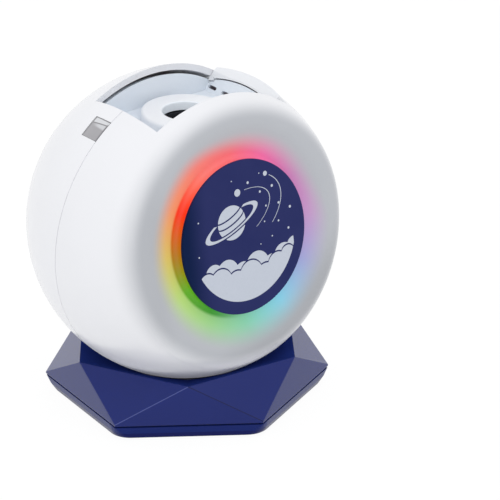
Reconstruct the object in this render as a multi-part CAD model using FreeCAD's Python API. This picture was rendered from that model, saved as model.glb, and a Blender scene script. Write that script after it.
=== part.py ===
import FreeCAD, Part
import math
import os

# Bedtime story projector: a ball that holds a small picture projector, resting in a faceted base.
# Millimetres, +Z up. The origin is on the table, at the centre of the base, under the ball's centre.
# The front of the ball, with its glowing ring and round panel, faces -Y.
# The ball's own pieces are drawn about the ball's centre with the lens axis along +Z, and then
# tipped nose down by BALL_PITCH and lifted to BALL_HEIGHT.

# Ball
BALL_RADIUS = 90.0
BALL_HEIGHT = 103.5
BALL_PITCH = 4.0
SHELL_WALL = 3.6
REAR_FLAT_Y = 79.4
REAR_FLAT_ROUND = 5.0
SEAM_Y = 1.1
SEAM_TONGUE = 1.4
SEAM_DEPTH = 2.0
SEAM_GROOVE = 0.4

# Round panel and the dished glowing ring around it, along an axis that looks up by PANEL_PITCH
PANEL_PITCH = 11.0
PANEL_RADIUS = 43.9
PANEL_THICKNESS = 1.8
PANEL_FACE = 54.9
PEDESTAL_RADIUS = 43.0
DISH_SLOPE = 20.0
DISH_FOOT = 46.4
DISH_FOOT_ROUND = 3.0
CROWN_ROUND = 13.0

# Opening over the lens, measured as rolls about the Y axis from the top, + to the right
OPENING_FRONT = -26.9
OPENING_REAR = 29.0
OPENING_LEFT = -29.6
OPENING_RIGHT = 36.0
WELL_RIGHT = 30.4
WELL_FRONT = -30.0
WELL_FLOOR = 62.5
TRAY_WALL = 2.0
RAIL_RADIUS = 84.3
RAIL_THICKNESS = 2.0
RAIL_FRONT = -34.2
RAIL_REAR = 36.2
RAIL_END = 101.0
VENT_RADIUS = 75.7
VENT_SIZE = (7.2, 2.0)
VENT_PITCH = 12.2
VENT_COUNT = 4
VENT_START = 4.8

# Sliding shutter over the lens
SHUTTER_OUTER = 86.0
SHUTTER_SHEET = 1.0
SHUTTER_START = 30.0
SHUTTER_END = 99.6
SHUTTER_FRONT = -32.0
SHUTTER_REAR = 35.0
GRIP_RIDGE = 31.8
GRIP_LEAN = 53.0
GRIP_END = 35.7
GRIP_RISE = 1.7
GRIP_GAP = 0.4
CHEEK_START = 29.4
CHEEK_INNER = 83.6
CHEEK_WIDTH = 3.1

# Focus ring and lens
FOCUS_TOP = 68.3
FOCUS_BOTTOM = 62.9
FOCUS_RADIUS = 25.8
FOCUS_BORE = 13.9
SKIRT_RADIUS = 21.0
SKIRT_BOTTOM = 49.0
RUNNING_GAP = 0.05
BARREL_RADIUS = 18.85
BARREL_TOP = 61.8
BARREL_SHOULDER = 49.0
BARREL_TAIL_RADIUS = 15.0
BARREL_BOTTOM = 31.5

# Light engine under the lens
CASE_HALF_X = 24.0
CASE_HALF_Y = 21.0
CASE_WALL = 2.0
CASE_TOP = 30.0
CASE_BOTTOM = -14.0
GUIDE_TOP = 46.0
POST_X = 29.0
POST_Y = 14.0
STACK_SCREW_X = 18.0
STACK_SCREW_Y = 17.0
HEATSINK_BOTTOM = -34.0
FIN_PITCH = 6.0
FIN_COUNT = 8
FAN_BOTTOM = -44.0
FAN_HALF = 21.0
FAN_BORE = 19.5
FAN_BLADES = 7

# Receiver window at the seam
WINDOW_ROLLS = (-35.6, -44.3)
WINDOW_END = 15.0
WINDOW_GAP = 0.15

# Electronics, speaker and controls at the back
BOARD_Y = 36.0
BOARD_THICKNESS = 1.6
SPEAKER_Z = -2.0
SPEAKER_RADIUS = 24.0
BUTTON_Z = 31.0
BUTTON_PITCH = 12.0
BUTTON_RADIUS = 3.9
BUTTON_PROUD = 0.8
INLET_Z = -32.0
JOIN_BOSSES = ((-62.5, 21.0), (62.5, 21.0), (-50.0, -44.0), (50.0, -44.0))
BOARD_POSTS = ((-36.0, 30.0), (36.0, 30.0), (-36.0, -34.0), (36.0, -34.0))
TRAY_POSTS = ((-26.0, -34.5), (26.0, -34.5), (-28.0, 43.0), (28.0, 43.0))
TRAY_EAR_TOP = 65.8
TRAY_EAR_RADIUS = 2.8
TRAY_BOSS_RADIUS = 2.3
TRAY_BOSS_TOP = 68.8

# Base
BASE_TURN = -7.95
RIM_RADIUS = 82.95
RIM_Z = 10.3
RIM_LIP = 1.0
RIDGE_RADIUS = 70.9
RIDGE_Z = 32.5
DECK_WALL = 2.6
PIT_SLOPE = 20.0
BOWL_RADIUS = 91.2
CRADLE_INNER = 91.0
CRADLE_OUTER = 93.0
CRADLE_EDGE = 26.0
GRIP_RING_INNER = 26.0
GRIP_RING_OUTER = 32.0
CRADLE_RECESS = 93.4
DECK_FLOOR = 95.7
SPINDLE_RADIUS = 6.0
NECK_RADIUS = 79.0
NECK_TOP = 10.1
TRAY_TOP_Z = 8.6
TRAY_TOP_RADIUS = 81.9
TRAY_BOTTOM_RADIUS = 78.0
TRAY_BOTTOM_Z = 0.8
TRAY_CORNER = 5.0
BASE_SCREW_RADIUS = 58.0
FOOT_RING = 63.0
FOOT_RADIUS = 5.5

ORIGIN = FreeCAD.Vector(0, 0, 0)
X_AXIS = FreeCAD.Vector(1, 0, 0)
Y_AXIS = FreeCAD.Vector(0, 1, 0)
Z_AXIS = FreeCAD.Vector(0, 0, 1)
FAR = 200.0


def vec(x, y, z):
    return FreeCAD.Vector(x, y, z)


def sine(degrees):
    return math.sin(math.radians(degrees))


def cosine(degrees):
    return math.cos(math.radians(degrees))


def moved(shape, x=0.0, y=0.0, z=0.0):
    copy = shape.copy()
    copy.translate(vec(x, y, z))
    return copy


def turned(shape, axis, degrees):
    copy = shape.copy()
    copy.rotate(ORIGIN, axis, degrees)
    return copy


def fused(shapes):
    return shapes[0].multiFuse(list(shapes[1:])).removeSplitter()


def box(x0, x1, y0, y1, z0, z1):
    return Part.makeBox(x1 - x0, y1 - y0, z1 - z0, vec(x0, y0, z0))


def post(x, y, z0, z1, radius):
    """Upright cylinder along +Z."""
    return Part.makeCylinder(radius, z1 - z0, vec(x, y, z0), Z_AXIS)


def rod(x, z, y0, y1, radius):
    """Level cylinder along +Y."""
    return Part.makeCylinder(radius, y1 - y0, vec(x, y0, z), Y_AXIS)


def ball(radius):
    return Part.makeSphere(radius)


def revolve_edges(edges, axis):
    return Part.Face(Part.Wire(edges)).revolve(ORIGIN, axis, 360)


def revolve_points(points):
    """Turned solid about +Z from (radius, height) corners."""
    corners = [vec(radius, 0, height) for radius, height in points]
    return Part.Face(Part.makePolygon(corners + corners[:1])).revolve(ORIGIN, Z_AXIS, 360)


def line(start, end):
    return Part.LineSegment(start, end).toShape()


def arc(start, middle, end):
    return Part.Arc(start, middle, end).toShape()


def arc_about(centre, radius, start, end):
    """Short arc from start to end about a centre, all in one plane."""
    middle = (start - centre) + (end - centre)
    middle.normalize()
    return arc(start, centre + middle * radius, end)


def roll_point(radius, roll, y=0.0):
    return vec(radius * sine(roll), y, radius * cosine(roll))


def sector(roll_0, roll_1, radius_0, radius_1, y_0, y_1):
    """Wedge about the Y axis between two rolls, with a straight-sided outline."""
    middle = (roll_0 + roll_1) / 2
    corners = [
        roll_point(radius_0, roll_0, y_0),
        roll_point(radius_1, roll_0, y_0),
        roll_point(radius_1, middle, y_0),
        roll_point(radius_1, roll_1, y_0),
        roll_point(radius_0, roll_1, y_0),
    ]
    face = Part.Face(Part.makePolygon(corners + corners[:1]))
    return face.extrude(vec(0, y_1 - y_0, 0))


def hexagon(radius, z, turn):
    return [vec(radius * sine(turn + 60 * k), -radius * cosine(turn + 60 * k), z) for k in range(6)]


def face_of(corners):
    return Part.Face(Part.makePolygon(list(corners) + [corners[0]]))


def screw(head_radius, head_height, shank_radius, length):
    """Pan-head screw with a cross recess: head above z = 0, shank below."""
    head = Part.makeCylinder(head_radius, head_height)
    head = head.makeFillet(head_height * 0.45, [e for e in head.Edges if e.BoundBox.ZMin > head_height / 2
                                                and len(e.Vertexes) == 1])
    shank = Part.makeCylinder(shank_radius, length, ORIGIN, vec(0, 0, -1))
    slot = head_radius * 0.55
    thin = head_radius * 0.14
    depth = head_height * 0.5
    cross = box(-slot, slot, -thin, thin, head_height - depth, head_height + 1)
    cross = cross.fuse(turned(cross, Z_AXIS, 90))
    return fused([head, shank]).cut(cross)


def in_panel_frame(shape):
    """Stand a piece drawn about +Z on the axis of the round panel."""
    return turned(shape, X_AXIS, 90 - PANEL_PITCH)


def in_ball(shape):
    """Carry a piece from the ball's own frame to its place on the base."""
    return moved(turned(shape, X_AXIS, BALL_PITCH), z=BALL_HEIGHT)


# Shells of the ball


def front_profile(inset):
    """Outline of the ball about the panel's axis, a given distance inside its surface."""
    seat = PANEL_FACE - PANEL_THICKNESS
    radius = BALL_RADIUS - inset
    along = vec(cosine(DISH_SLOPE), 0, sine(DISH_SLOPE))
    inward = vec(sine(DISH_SLOPE), 0, -cosine(DISH_SLOPE))
    foot = vec(PEDESTAL_RADIUS, 0, DISH_FOOT)

    # The crown's round touches the sphere and the dish's slope
    start = foot + inward * CROWN_ROUND
    half = start.dot(along)
    reach = BALL_RADIUS - CROWN_ROUND
    travel = -half + math.sqrt(half * half - start.dot(start) + reach * reach)
    crown = start + along * travel
    crown_sphere = crown * (radius / crown.Length)
    crown_slope = crown - inward * (CROWN_ROUND - inset)

    # The round at the foot of the dish touches the slope and the pedestal's wall
    run = DISH_FOOT_ROUND * (1 + sine(DISH_SLOPE)) / cosine(DISH_SLOPE)
    foot_centre = foot + along * run - inward * DISH_FOOT_ROUND
    foot_slope = foot_centre + inward * (DISH_FOOT_ROUND + inset)
    foot_wall = vec(PEDESTAL_RADIUS - inset, 0, foot_centre.z)

    rear = vec(0, 0, -radius)
    seat_edge = vec(PEDESTAL_RADIUS - inset, 0, seat - inset)
    seat_centre = vec(0, 0, seat - inset)
    edges = [
        arc(rear, vec(radius, 0, 0), crown_sphere),
        arc_about(crown, CROWN_ROUND - inset, crown_sphere, crown_slope),
        line(crown_slope, foot_slope),
        arc_about(foot_centre, DISH_FOOT_ROUND + inset, foot_slope, foot_wall),
    ]
    if inset < seat - foot_centre.z:
        edges.append(line(foot_wall, seat_edge))
        edges.append(line(seat_edge, seat_centre))
        edges.append(line(seat_centre, rear))
        return edges
    # Deep inside, the pedestal's flat top meets the round at the foot
    drop = foot_centre.z - (seat - inset)
    edge_radius = foot_centre.x - math.sqrt((DISH_FOOT_ROUND + inset) ** 2 - drop ** 2)
    seat_edge = vec(edge_radius, 0, seat - inset)
    edges[3] = arc_about(foot_centre, DISH_FOOT_ROUND + inset, foot_slope, seat_edge)
    edges.append(line(seat_edge, seat_centre))
    edges.append(line(seat_centre, rear))
    return edges


def front_solid(inset):
    return in_panel_frame(revolve_edges(front_profile(inset), Z_AXIS))


def rear_solid(inset):
    """Back half of the ball with its rounded flat, turned about the Y axis."""
    radius = BALL_RADIUS - inset
    bend = REAR_FLAT_ROUND - inset
    flat = REAR_FLAT_Y - inset
    centre_y = REAR_FLAT_Y - REAR_FLAT_ROUND
    centre_x = math.sqrt((BALL_RADIUS - REAR_FLAT_ROUND) ** 2 - centre_y ** 2)
    centre = vec(centre_x, centre_y, 0)
    on_sphere = centre * (radius / centre.Length)
    on_flat = vec(centre_x, flat, 0)
    side = vec(radius * cosine(30), radius * sine(30), 0)
    seam_edge = vec(math.sqrt(radius ** 2 - SEAM_Y ** 2), SEAM_Y, 0)
    edges = [
        arc(seam_edge, side, on_sphere),
        arc_about(centre, bend, on_sphere, on_flat),
        line(on_flat, vec(0, flat, 0)),
        line(vec(0, flat, 0), vec(0, SEAM_Y, 0)),
        line(vec(0, SEAM_Y, 0), seam_edge),
    ]
    return revolve_edges(edges, Y_AXIS)


def seam_ring(inner, outer, y_0, y_1):
    ring = Part.makeCylinder(outer, y_1 - y_0, vec(0, y_0, 0), Y_AXIS)
    return ring.cut(Part.makeCylinder(inner, y_1 - y_0, vec(0, y_0, 0), Y_AXIS))


def lens_opening():
    return sector(OPENING_LEFT, OPENING_RIGHT, 60, FAR, OPENING_FRONT, OPENING_REAR)


def front_shell():
    """Milky front half: dish, pedestal for the panel, and the front of the lens opening."""
    inner_radius = BALL_RADIUS - SHELL_WALL
    half = box(-FAR, FAR, -FAR, SEAM_Y, -FAR, FAR)
    inside = front_solid(SHELL_WALL)
    skin = front_solid(0).common(half).cut(inside)
    rebate = seam_ring(inner_radius - 2, inner_radius + SEAM_TONGUE + 0.25, SEAM_Y - SEAM_DEPTH - 0.25, SEAM_Y)
    groove = seam_ring(BALL_RADIUS - SEAM_GROOVE, BALL_RADIUS + 1, SEAM_Y - SEAM_GROOVE, SEAM_Y)
    skin = skin.cut(rebate).cut(groove)
    body = front_solid(0.6)
    pieces = [skin]
    for x, z in JOIN_BOSSES:
        pieces.append(rod(x, z, -FAR / 2, SEAM_Y, 4.5).common(body))
    for x, y in TRAY_POSTS[:2]:
        pieces.append(post(x, y, TRAY_EAR_TOP, TRAY_BOSS_TOP, TRAY_BOSS_RADIUS))
        web = box(x - TRAY_BOSS_RADIUS, x + TRAY_BOSS_RADIUS, -FAR, y, TRAY_EAR_TOP, TRAY_BOSS_TOP)
        pieces.append(web.common(body))
    shell = fused(pieces).cut(lens_opening())
    for x, z in JOIN_BOSSES:
        shell = shell.cut(rod(x, z, -14, SEAM_Y, 1.5))
    for x, y in TRAY_POSTS[:2]:
        shell = shell.cut(post(x, y, TRAY_EAR_TOP, TRAY_BOSS_TOP - 0.5, 1.3))
    return shell


def grille_holes():
    """Rings of round holes in front of the speaker."""
    holes = [rod(0, SPEAKER_Z, REAR_FLAT_Y - 8, REAR_FLAT_Y + 2, 1.3)]
    for ring in range(1, 4):
        for k in range(6 * ring):
            angle = 360 / (6 * ring) * k
            x = 5.2 * ring * cosine(angle)
            z = SPEAKER_Z + 5.2 * ring * sine(angle)
            holes.append(rod(x, z, REAR_FLAT_Y - 8, REAR_FLAT_Y + 2, 1.3))
    return Part.makeCompound(holes)


def button_places():
    return ((0.0, BUTTON_Z), (BUTTON_PITCH, BUTTON_Z), (-BUTTON_PITCH, BUTTON_Z))


def rear_shell():
    """White back half: tongue at the seam, flat with grille, controls and inlet, and the posts inside."""
    inner_radius = BALL_RADIUS - SHELL_WALL
    inner_flat = REAR_FLAT_Y - SHELL_WALL
    skin = rear_solid(0).cut(rear_solid(SHELL_WALL))
    body = rear_solid(0.6)
    tongue = seam_ring(inner_radius + 0.15, inner_radius + SEAM_TONGUE, SEAM_Y - SEAM_DEPTH, SEAM_Y + 1)
    pieces = [skin, tongue]
    for x, z in JOIN_BOSSES:
        pieces.append(rod(x, z, SEAM_Y, FAR / 2, 4.5).common(body))
    for x, z in BOARD_POSTS:
        pieces.append(rod(x, z, BOARD_Y + BOARD_THICKNESS, FAR / 2, 3.2).common(body))
    for x, y in TRAY_POSTS[2:]:
        pieces.append(post(x, y, TRAY_EAR_TOP, FAR / 2, 3.0).common(body))
    for x in (-19.4, 19.4):
        pieces.append(rod(x, BUTTON_Z, 69.6, inner_flat + 1, 2.0))
    for x in (-4.5, 4.5):
        leg = post(x, 20.0, 76.2, 87.5, 1.6)
        pieces.append(turned(leg, Y_AXIS, sum(WINDOW_ROLLS) / 2))
    shell = fused(pieces).cut(lens_opening())
    shell = shell.cut(sector(WINDOW_ROLLS[1], WINDOW_ROLLS[0], 80, FAR, -5, WINDOW_END))
    shell = shell.cut(grille_holes())
    for x, z in button_places():
        shell = shell.cut(rod(x, z, inner_flat - 1, FAR / 2, BUTTON_RADIUS + 0.3))
    shell = shell.cut(rod(0, INLET_Z, inner_flat - 1, FAR / 2, 4.65))
    for x, z in JOIN_BOSSES:
        shell = shell.cut(rod(x, z, 12, FAR / 2, 3.5))
        shell = shell.cut(rod(x, z, -1, 14, 1.7))
    for x, z in BOARD_POSTS:
        shell = shell.cut(rod(x, z, BOARD_Y, BOARD_Y + 12, 1.3))
    for x, y in TRAY_POSTS[2:]:
        shell = shell.cut(post(x, y, TRAY_EAR_TOP, TRAY_EAR_TOP + 4, 1.3))
    return shell


def receiver_window():
    """Smoke-grey window flush with the ball, with a flange behind it."""
    gap = WINDOW_GAP / BALL_RADIUS * 180 / math.pi
    pane = sector(WINDOW_ROLLS[1] + gap, WINDOW_ROLLS[0] - gap, 60, FAR, SEAM_Y + WINDOW_GAP, WINDOW_END - WINDOW_GAP)
    pane = pane.common(ball(BALL_RADIUS - 0.15)).cut(ball(BALL_RADIUS - SHELL_WALL - 0.1))
    flange = sector(WINDOW_ROLLS[1] - 1.3, WINDOW_ROLLS[0] + 1.3, 60, FAR, SEAM_Y + 0.3, WINDOW_END + 2)
    flange = flange.common(ball(BALL_RADIUS - SHELL_WALL - 0.05)).cut(ball(BALL_RADIUS - SHELL_WALL - 1.4))
    return fused([pane, flange])


def receiver_board():
    board = box(-7.5, 7.5, 2.0, 23.0, 75.0, 76.2)
    return turned(board, Y_AXIS, sum(WINDOW_ROLLS) / 2)


def receiver_sensor():
    body = box(-3.5, 3.5, 4.5, 10.5, 76.2, 79.2)
    dome = ball(2.4).common(box(-3, 3, -3, 3, 0, 3))
    sensor = body.fuse(moved(dome, 0, 7.5, 79.2))
    return turned(sensor, Y_AXIS, sum(WINDOW_ROLLS) / 2)


# Well over the lens, shutter and focus ring


def well_outline(wall, floor, front, rear, top):
    """Trough between two radial end walls, a flat floor and upright front and back walls."""
    left = roll_point(1, OPENING_LEFT)
    right = roll_point(1, WELL_RIGHT)
    push = wall / cosine(WELL_RIGHT)
    corners = [
        vec(left.x / left.z * floor - push, front, floor),
        vec(left.x / left.z * top - push, front, top),
        vec(right.x / right.z * top + push, front, top),
        vec(right.x / right.z * floor + push, front, floor),
    ]
    return face_of(corners).extrude(vec(0, rear - front, 0))


def lens_tray():
    """Well moulding with the two rails that carry the shutter, hung from the shells by four ears."""
    inner = ball(RAIL_RADIUS - RAIL_THICKNESS)
    outer = ball(RAIL_RADIUS)
    trough = well_outline(TRAY_WALL, WELL_FLOOR - TRAY_WALL, WELL_FRONT - TRAY_WALL,
                          OPENING_REAR + TRAY_WALL, FAR / 2).common(outer)
    rails = sector(OPENING_LEFT - 3.6, RAIL_END, 20, FAR, RAIL_FRONT, RAIL_REAR).common(outer).cut(inner)
    parking = sector(WELL_RIGHT + 1.4, RAIL_END - 1.4, 20, FAR, WELL_FRONT, OPENING_REAR)
    rails = rails.cut(parking)
    pieces = [trough, rails]
    for x, y in TRAY_POSTS:
        inner_y = WELL_FRONT if y < 0 else OPENING_REAR
        low, high = sorted((y, inner_y))
        pieces.append(box(x - TRAY_EAR_RADIUS, x + TRAY_EAR_RADIUS, low, high, TRAY_EAR_TOP - 2, TRAY_EAR_TOP))
        pieces.append(post(x, y, TRAY_EAR_TOP - 2, TRAY_EAR_TOP, TRAY_EAR_RADIUS))
    for x in (-POST_X, POST_X):
        for y in (-POST_Y, POST_Y):
            pieces.append(post(x, y, CASE_TOP, WELL_FLOOR - 1, 3.4))
    tray = fused(pieces)
    tray = tray.cut(well_outline(0, WELL_FLOOR, WELL_FRONT, OPENING_REAR, FAR / 2))
    tray = tray.cut(post(0, 0, 50, 70, SKIRT_RADIUS + RUNNING_GAP))
    for y_0, y_1 in ((WELL_FRONT, OPENING_FRONT + 4), (OPENING_REAR - 4, OPENING_REAR)):
        notch = sector(WELL_RIGHT - 1, GRIP_END + 1, 60, FAR, y_0, y_1)
        tray = tray.cut(notch.cut(ball(CHEEK_INNER - 0.4)))
    for x, y in TRAY_POSTS:
        tray = tray.cut(post(x, y, 60, 70, 1.6))
    for x in (-POST_X, POST_X):
        for y in (-POST_Y, POST_Y):
            tray = tray.cut(post(x, y, CASE_TOP, CASE_TOP + 12, 1.3))
    length, height = VENT_SIZE
    first = OPENING_REAR - VENT_START
    for k in range(VENT_COUNT):
        y = first - VENT_PITCH * k
        vent = box(-6, 6, y - length / 2 + height / 2, y + length / 2 - height / 2,
                   VENT_RADIUS - height / 2, VENT_RADIUS + height / 2)
        for end in (-1, 1):
            y_end = y + end * (length / 2 - height / 2)
            vent = vent.fuse(Part.makeCylinder(height / 2, 12, vec(-6, y_end, VENT_RADIUS), X_AXIS))
        tray = tray.cut(turned(vent, Y_AXIS, WELL_RIGHT))
    return tray


def shutter():
    """Curved cover that slides about the Y axis, with a raised, leaning grip and a cheek at each side."""
    inner = SHUTTER_OUTER - SHUTTER_SHEET
    sheet = sector(SHUTTER_START, SHUTTER_END, 20, FAR, SHUTTER_FRONT, SHUTTER_REAR)
    sheet = sheet.common(ball(SHUTTER_OUTER)).cut(ball(inner))
    front = OPENING_FRONT + GRIP_GAP
    rear = OPENING_REAR - GRIP_GAP

    # The grip's top falls from its ridge to the ball's surface, and its leading face leans back
    shift = GRIP_RISE / sine(GRIP_END - GRIP_RIDGE)
    top = moved(ball(math.hypot(BALL_RADIUS, shift)), shift * sine(GRIP_END - 90), 0, shift * cosine(GRIP_END - 90))
    foot = roll_point(inner, SHUTTER_START)
    ahead = moved(turned(box(-FAR, 0, -FAR, FAR, -FAR, FAR), Y_AXIS, GRIP_LEAN), foot.x, 0, foot.z)
    grip = sector(SHUTTER_START, GRIP_END, 20, FAR, front, rear).common(top).cut(ball(inner)).cut(ahead)
    rim = [edge for edge in grip.Edges if min(v.Point.Length for v in edge.Vertexes) > BALL_RADIUS - 0.5]
    grip = grip.makeFillet(0.6, rim)
    pieces = [sheet, grip]
    for y in (front, rear - CHEEK_WIDTH):
        cheek = sector(CHEEK_START, GRIP_END, 20, FAR, y, y + CHEEK_WIDTH)
        pieces.append(cheek.common(ball(SHUTTER_OUTER)).cut(ball(CHEEK_INNER)))
    return fused(pieces)


def focus_ring():
    """Smooth ring turned by a fingertip, with a skirt that turns in the floor of the well."""
    ring = post(0, 0, FOCUS_BOTTOM, FOCUS_TOP, FOCUS_RADIUS)
    rim = [edge for edge in ring.Edges if edge.BoundBox.ZMin > FOCUS_TOP - 0.1 and edge.Closed]
    ring = ring.makeFillet(1.8, rim)
    ring = ring.fuse(post(0, 0, SKIRT_BOTTOM, FOCUS_BOTTOM + 1, SKIRT_RADIUS))
    ring = ring.cut(post(0, 0, SKIRT_BOTTOM - 1, FOCUS_BOTTOM, BARREL_RADIUS + RUNNING_GAP))
    ring = ring.cut(post(0, 0, FOCUS_BOTTOM - 1, FOCUS_TOP + 1, FOCUS_BORE))
    mouth = [edge for edge in ring.Edges if edge.BoundBox.ZMin > FOCUS_TOP - 0.1 and edge.Closed
             and edge.BoundBox.XMax < FOCUS_BORE + 0.2]
    return ring.makeFillet(1.0, mouth)


def lens_barrel():
    """Black barrel: wide head inside the ring's skirt, narrow tail in the light engine's guide."""
    return revolve_points([
        (13.6, BARREL_TOP),
        (BARREL_RADIUS - 0.6, BARREL_TOP),
        (BARREL_RADIUS, BARREL_TOP - 0.6),
        (BARREL_RADIUS, BARREL_SHOULDER),
        (BARREL_TAIL_RADIUS, BARREL_SHOULDER),
        (BARREL_TAIL_RADIUS, BARREL_BOTTOM),
        (11.0, BARREL_BOTTOM),
        (11.0, BARREL_BOTTOM + 1.5),
        (12.5, BARREL_BOTTOM + 1.5),
        (12.5, 50.5),
        (15.6, 52.5),
        (15.6, BARREL_TOP - 1.8),
        (13.6, BARREL_TOP - 1.8),
    ])


def lens_solid(radius, rim_0, rim_1, bulge_0, bulge_1):
    """Lens with an upright rim and a curved face below and above it."""
    low = vec(radius, 0, rim_0)
    high = vec(radius, 0, rim_1)
    top = vec(0, 0, rim_1 + bulge_1)
    bottom = vec(0, 0, rim_0 - bulge_0)
    edges = [line(low, high)]
    if bulge_1:
        sweep = (radius * radius + bulge_1 * bulge_1) / (2 * bulge_1)
        middle = vec(radius / 2, 0, rim_1 + bulge_1 - sweep + math.sqrt(sweep ** 2 - radius ** 2 / 4))
        edges.append(arc(high, middle, top))
    else:
        edges.append(line(high, top))
    edges.append(line(top, bottom))
    if bulge_0:
        sweep = (radius * radius + bulge_0 * bulge_0) / (2 * bulge_0)
        middle = vec(radius / 2, 0, rim_0 - bulge_0 + sweep - math.sqrt(sweep ** 2 - radius ** 2 / 4))
        edges.append(arc(bottom, middle, low))
    else:
        edges.append(line(bottom, low))
    return revolve_edges(edges, Z_AXIS)


def front_lens():
    return lens_solid(15.5, 54.2, 56.4, 1.2, 3.4)


def lens_retainer():
    """Threaded ring that holds the front lens down in the barrel."""
    return revolve_points([(15.5, 56.8), (15.5, 60.0), (13.7, 60.0), (14.2, 57.6), (15.0, 56.8)])


def rear_lens():
    return lens_solid(12.4, 35.0, 36.6, 2.0, 0.8)


# Light engine


def engine_case():
    """Black box that hangs from the well on four posts and guides the lens barrel."""
    case = box(-CASE_HALF_X, CASE_HALF_X, -CASE_HALF_Y, CASE_HALF_Y, CASE_BOTTOM, CASE_TOP)
    case = case.makeFillet(3.0, [e for e in case.Edges if e.BoundBox.ZLength > 10])
    room_x = CASE_HALF_X - CASE_WALL
    room_y = CASE_HALF_Y - CASE_WALL
    case = case.cut(box(-room_x, room_x, -room_y, room_y, CASE_BOTTOM - 1, CASE_TOP - CASE_WALL))
    ledge = box(-room_x, room_x, -room_y, room_y, 18, 20).cut(box(-17, 17, -14, 14, 17, 21))
    pieces = [case, ledge, post(0, 0, CASE_TOP - 1, GUIDE_TOP, BARREL_TAIL_RADIUS + 2.4)]
    for side_x in (-1, 1):
        for side_y in (-1, 1):
            x = side_x * STACK_SCREW_X
            y = side_y * STACK_SCREW_Y
            rib_x = sorted((side_x * 15.5, side_x * (room_x + 1)))
            rib_y = sorted((side_y * 14.5, side_y * (room_y + 1)))
            rib = box(rib_x[0], rib_x[1], rib_y[0], rib_y[1], CASE_BOTTOM, 6)
            pieces.append(rib.cut(post(x, y, CASE_BOTTOM, 0, 1.5)))
            ear_x = sorted((side_x * (CASE_HALF_X - 1), side_x * POST_X))
            ear_y = side_y * POST_Y
            pieces.append(box(ear_x[0], ear_x[1], ear_y - 4, ear_y + 4, CASE_TOP - 3, CASE_TOP))
            pieces.append(post(side_x * POST_X, ear_y, CASE_TOP - 3, CASE_TOP, 4.0))
    case = fused(pieces).cut(post(0, 0, CASE_TOP - 4, GUIDE_TOP + 1, BARREL_TAIL_RADIUS + RUNNING_GAP))
    for x in (-POST_X, POST_X):
        for y in (-POST_Y, POST_Y):
            case = case.cut(post(x, y, CASE_TOP - 4, CASE_TOP + 1, 1.6))
    return case


def lcd_panel():
    glass = box(-21.5, 21.5, -18.5, 18.5, 20.0, 21.4)
    return glass.fuse(box(-17, 17, -13, 13, 21.4, 22.2))


def condenser_lens():
    return lens_solid(16.8, 7.5, 9.5, 0, 6.0)


def light_reflector():
    """Square plate under the condenser with a bright cone down to the lamp."""
    plate = box(-21.8, 21.8, -18.8, 18.8, 6.0, 7.5)
    cone = Part.makeCone(8.0, 16.8, 16.0, vec(0, 0, -9.0), Z_AXIS)
    bore = Part.makeCone(7.0, 15.8, 16.6, vec(0, 0, -9.05), Z_AXIS)
    return plate.fuse(cone).cut(bore)


def lamp_board():
    return box(-14, 14, -13.5, 13.5, CASE_BOTTOM, CASE_BOTTOM + 1.6)


def lamp_led():
    foot = CASE_BOTTOM + 1.6
    chip = box(-5, 5, -5, 5, foot, foot + 0.9)
    dome = ball(4.2).common(post(0, 0, 2.4, 5, 5))
    return chip.fuse(moved(dome, z=foot + 0.9 - 2.4))


def heatsink():
    """Extruded block with upright fins under the lamp board."""
    plate_bottom = CASE_BOTTOM - 4
    pieces = [box(-CASE_HALF_X, CASE_HALF_X, -CASE_HALF_Y, CASE_HALF_Y, plate_bottom, CASE_BOTTOM)]
    first = -FIN_PITCH * (FIN_COUNT - 1) / 2
    for k in range(FIN_COUNT):
        x = first + FIN_PITCH * k
        pieces.append(box(x - 0.9, x + 0.9, -CASE_HALF_Y, CASE_HALF_Y, HEATSINK_BOTTOM, plate_bottom))
    sink = fused(pieces)
    for x in (-STACK_SCREW_X, STACK_SCREW_X):
        for y in (-STACK_SCREW_Y, STACK_SCREW_Y):
            sink = sink.cut(post(x, y, HEATSINK_BOTTOM, CASE_BOTTOM + 1, 1.6))
    return sink


def fan_frame():
    """Square fan housing with a round duct, four struts and the spindle."""
    duct_top = HEATSINK_BOTTOM
    frame = box(-FAN_HALF, FAN_HALF, -FAN_HALF, FAN_HALF, FAN_BOTTOM, duct_top)
    frame = frame.makeFillet(3.0, [e for e in frame.Edges if e.BoundBox.ZLength > 5])
    frame = frame.cut(post(0, 0, FAN_BOTTOM - 1, duct_top + 1, FAN_BORE))
    strut = box(-FAN_BORE - 1, FAN_BORE + 1, -1.2, 1.2, FAN_BOTTOM, FAN_BOTTOM + 1.4)
    pieces = [frame, turned(strut, Z_AXIS, 45), turned(strut, Z_AXIS, -45)]
    pieces.append(post(0, 0, FAN_BOTTOM, FAN_BOTTOM + 1.4, 8.0))
    pieces.append(post(0, 0, FAN_BOTTOM, duct_top - 2, 1.5))
    frame = fused(pieces)
    for x in (-STACK_SCREW_X, STACK_SCREW_X):
        for y in (-STACK_SCREW_Y, STACK_SCREW_Y):
            frame = frame.cut(post(x, y, FAN_BOTTOM - 1, duct_top + 1, 1.6))
    return frame


def fan_rotor():
    """Hub with pitched blades on the fan's spindle."""
    low = FAN_BOTTOM + 1.9
    high = HEATSINK_BOTTOM - 0.8
    hub = post(0, 0, low, high, 8.0)
    hub = hub.makeFillet(1.0, [e for e in hub.Edges if e.Closed and e.BoundBox.ZMin > high - 0.1])
    middle = (low + high) / 2
    pieces = [hub]
    for k in range(FAN_BLADES):
        blade = box(7.0, 18.6, -0.5, 0.5, -5.2, 5.2)
        blade = moved(turned(blade, X_AXIS, 52), z=middle)
        pieces.append(turned(blade, Z_AXIS, 360 / FAN_BLADES * k))
    swept = post(0, 0, low + 0.4, high - 0.2, 18.8).fuse(hub)
    return fused(pieces).common(swept).cut(post(0, 0, low - 1, HEATSINK_BOTTOM - 1.6, 1.5 + RUNNING_GAP))


# Electronics


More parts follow.
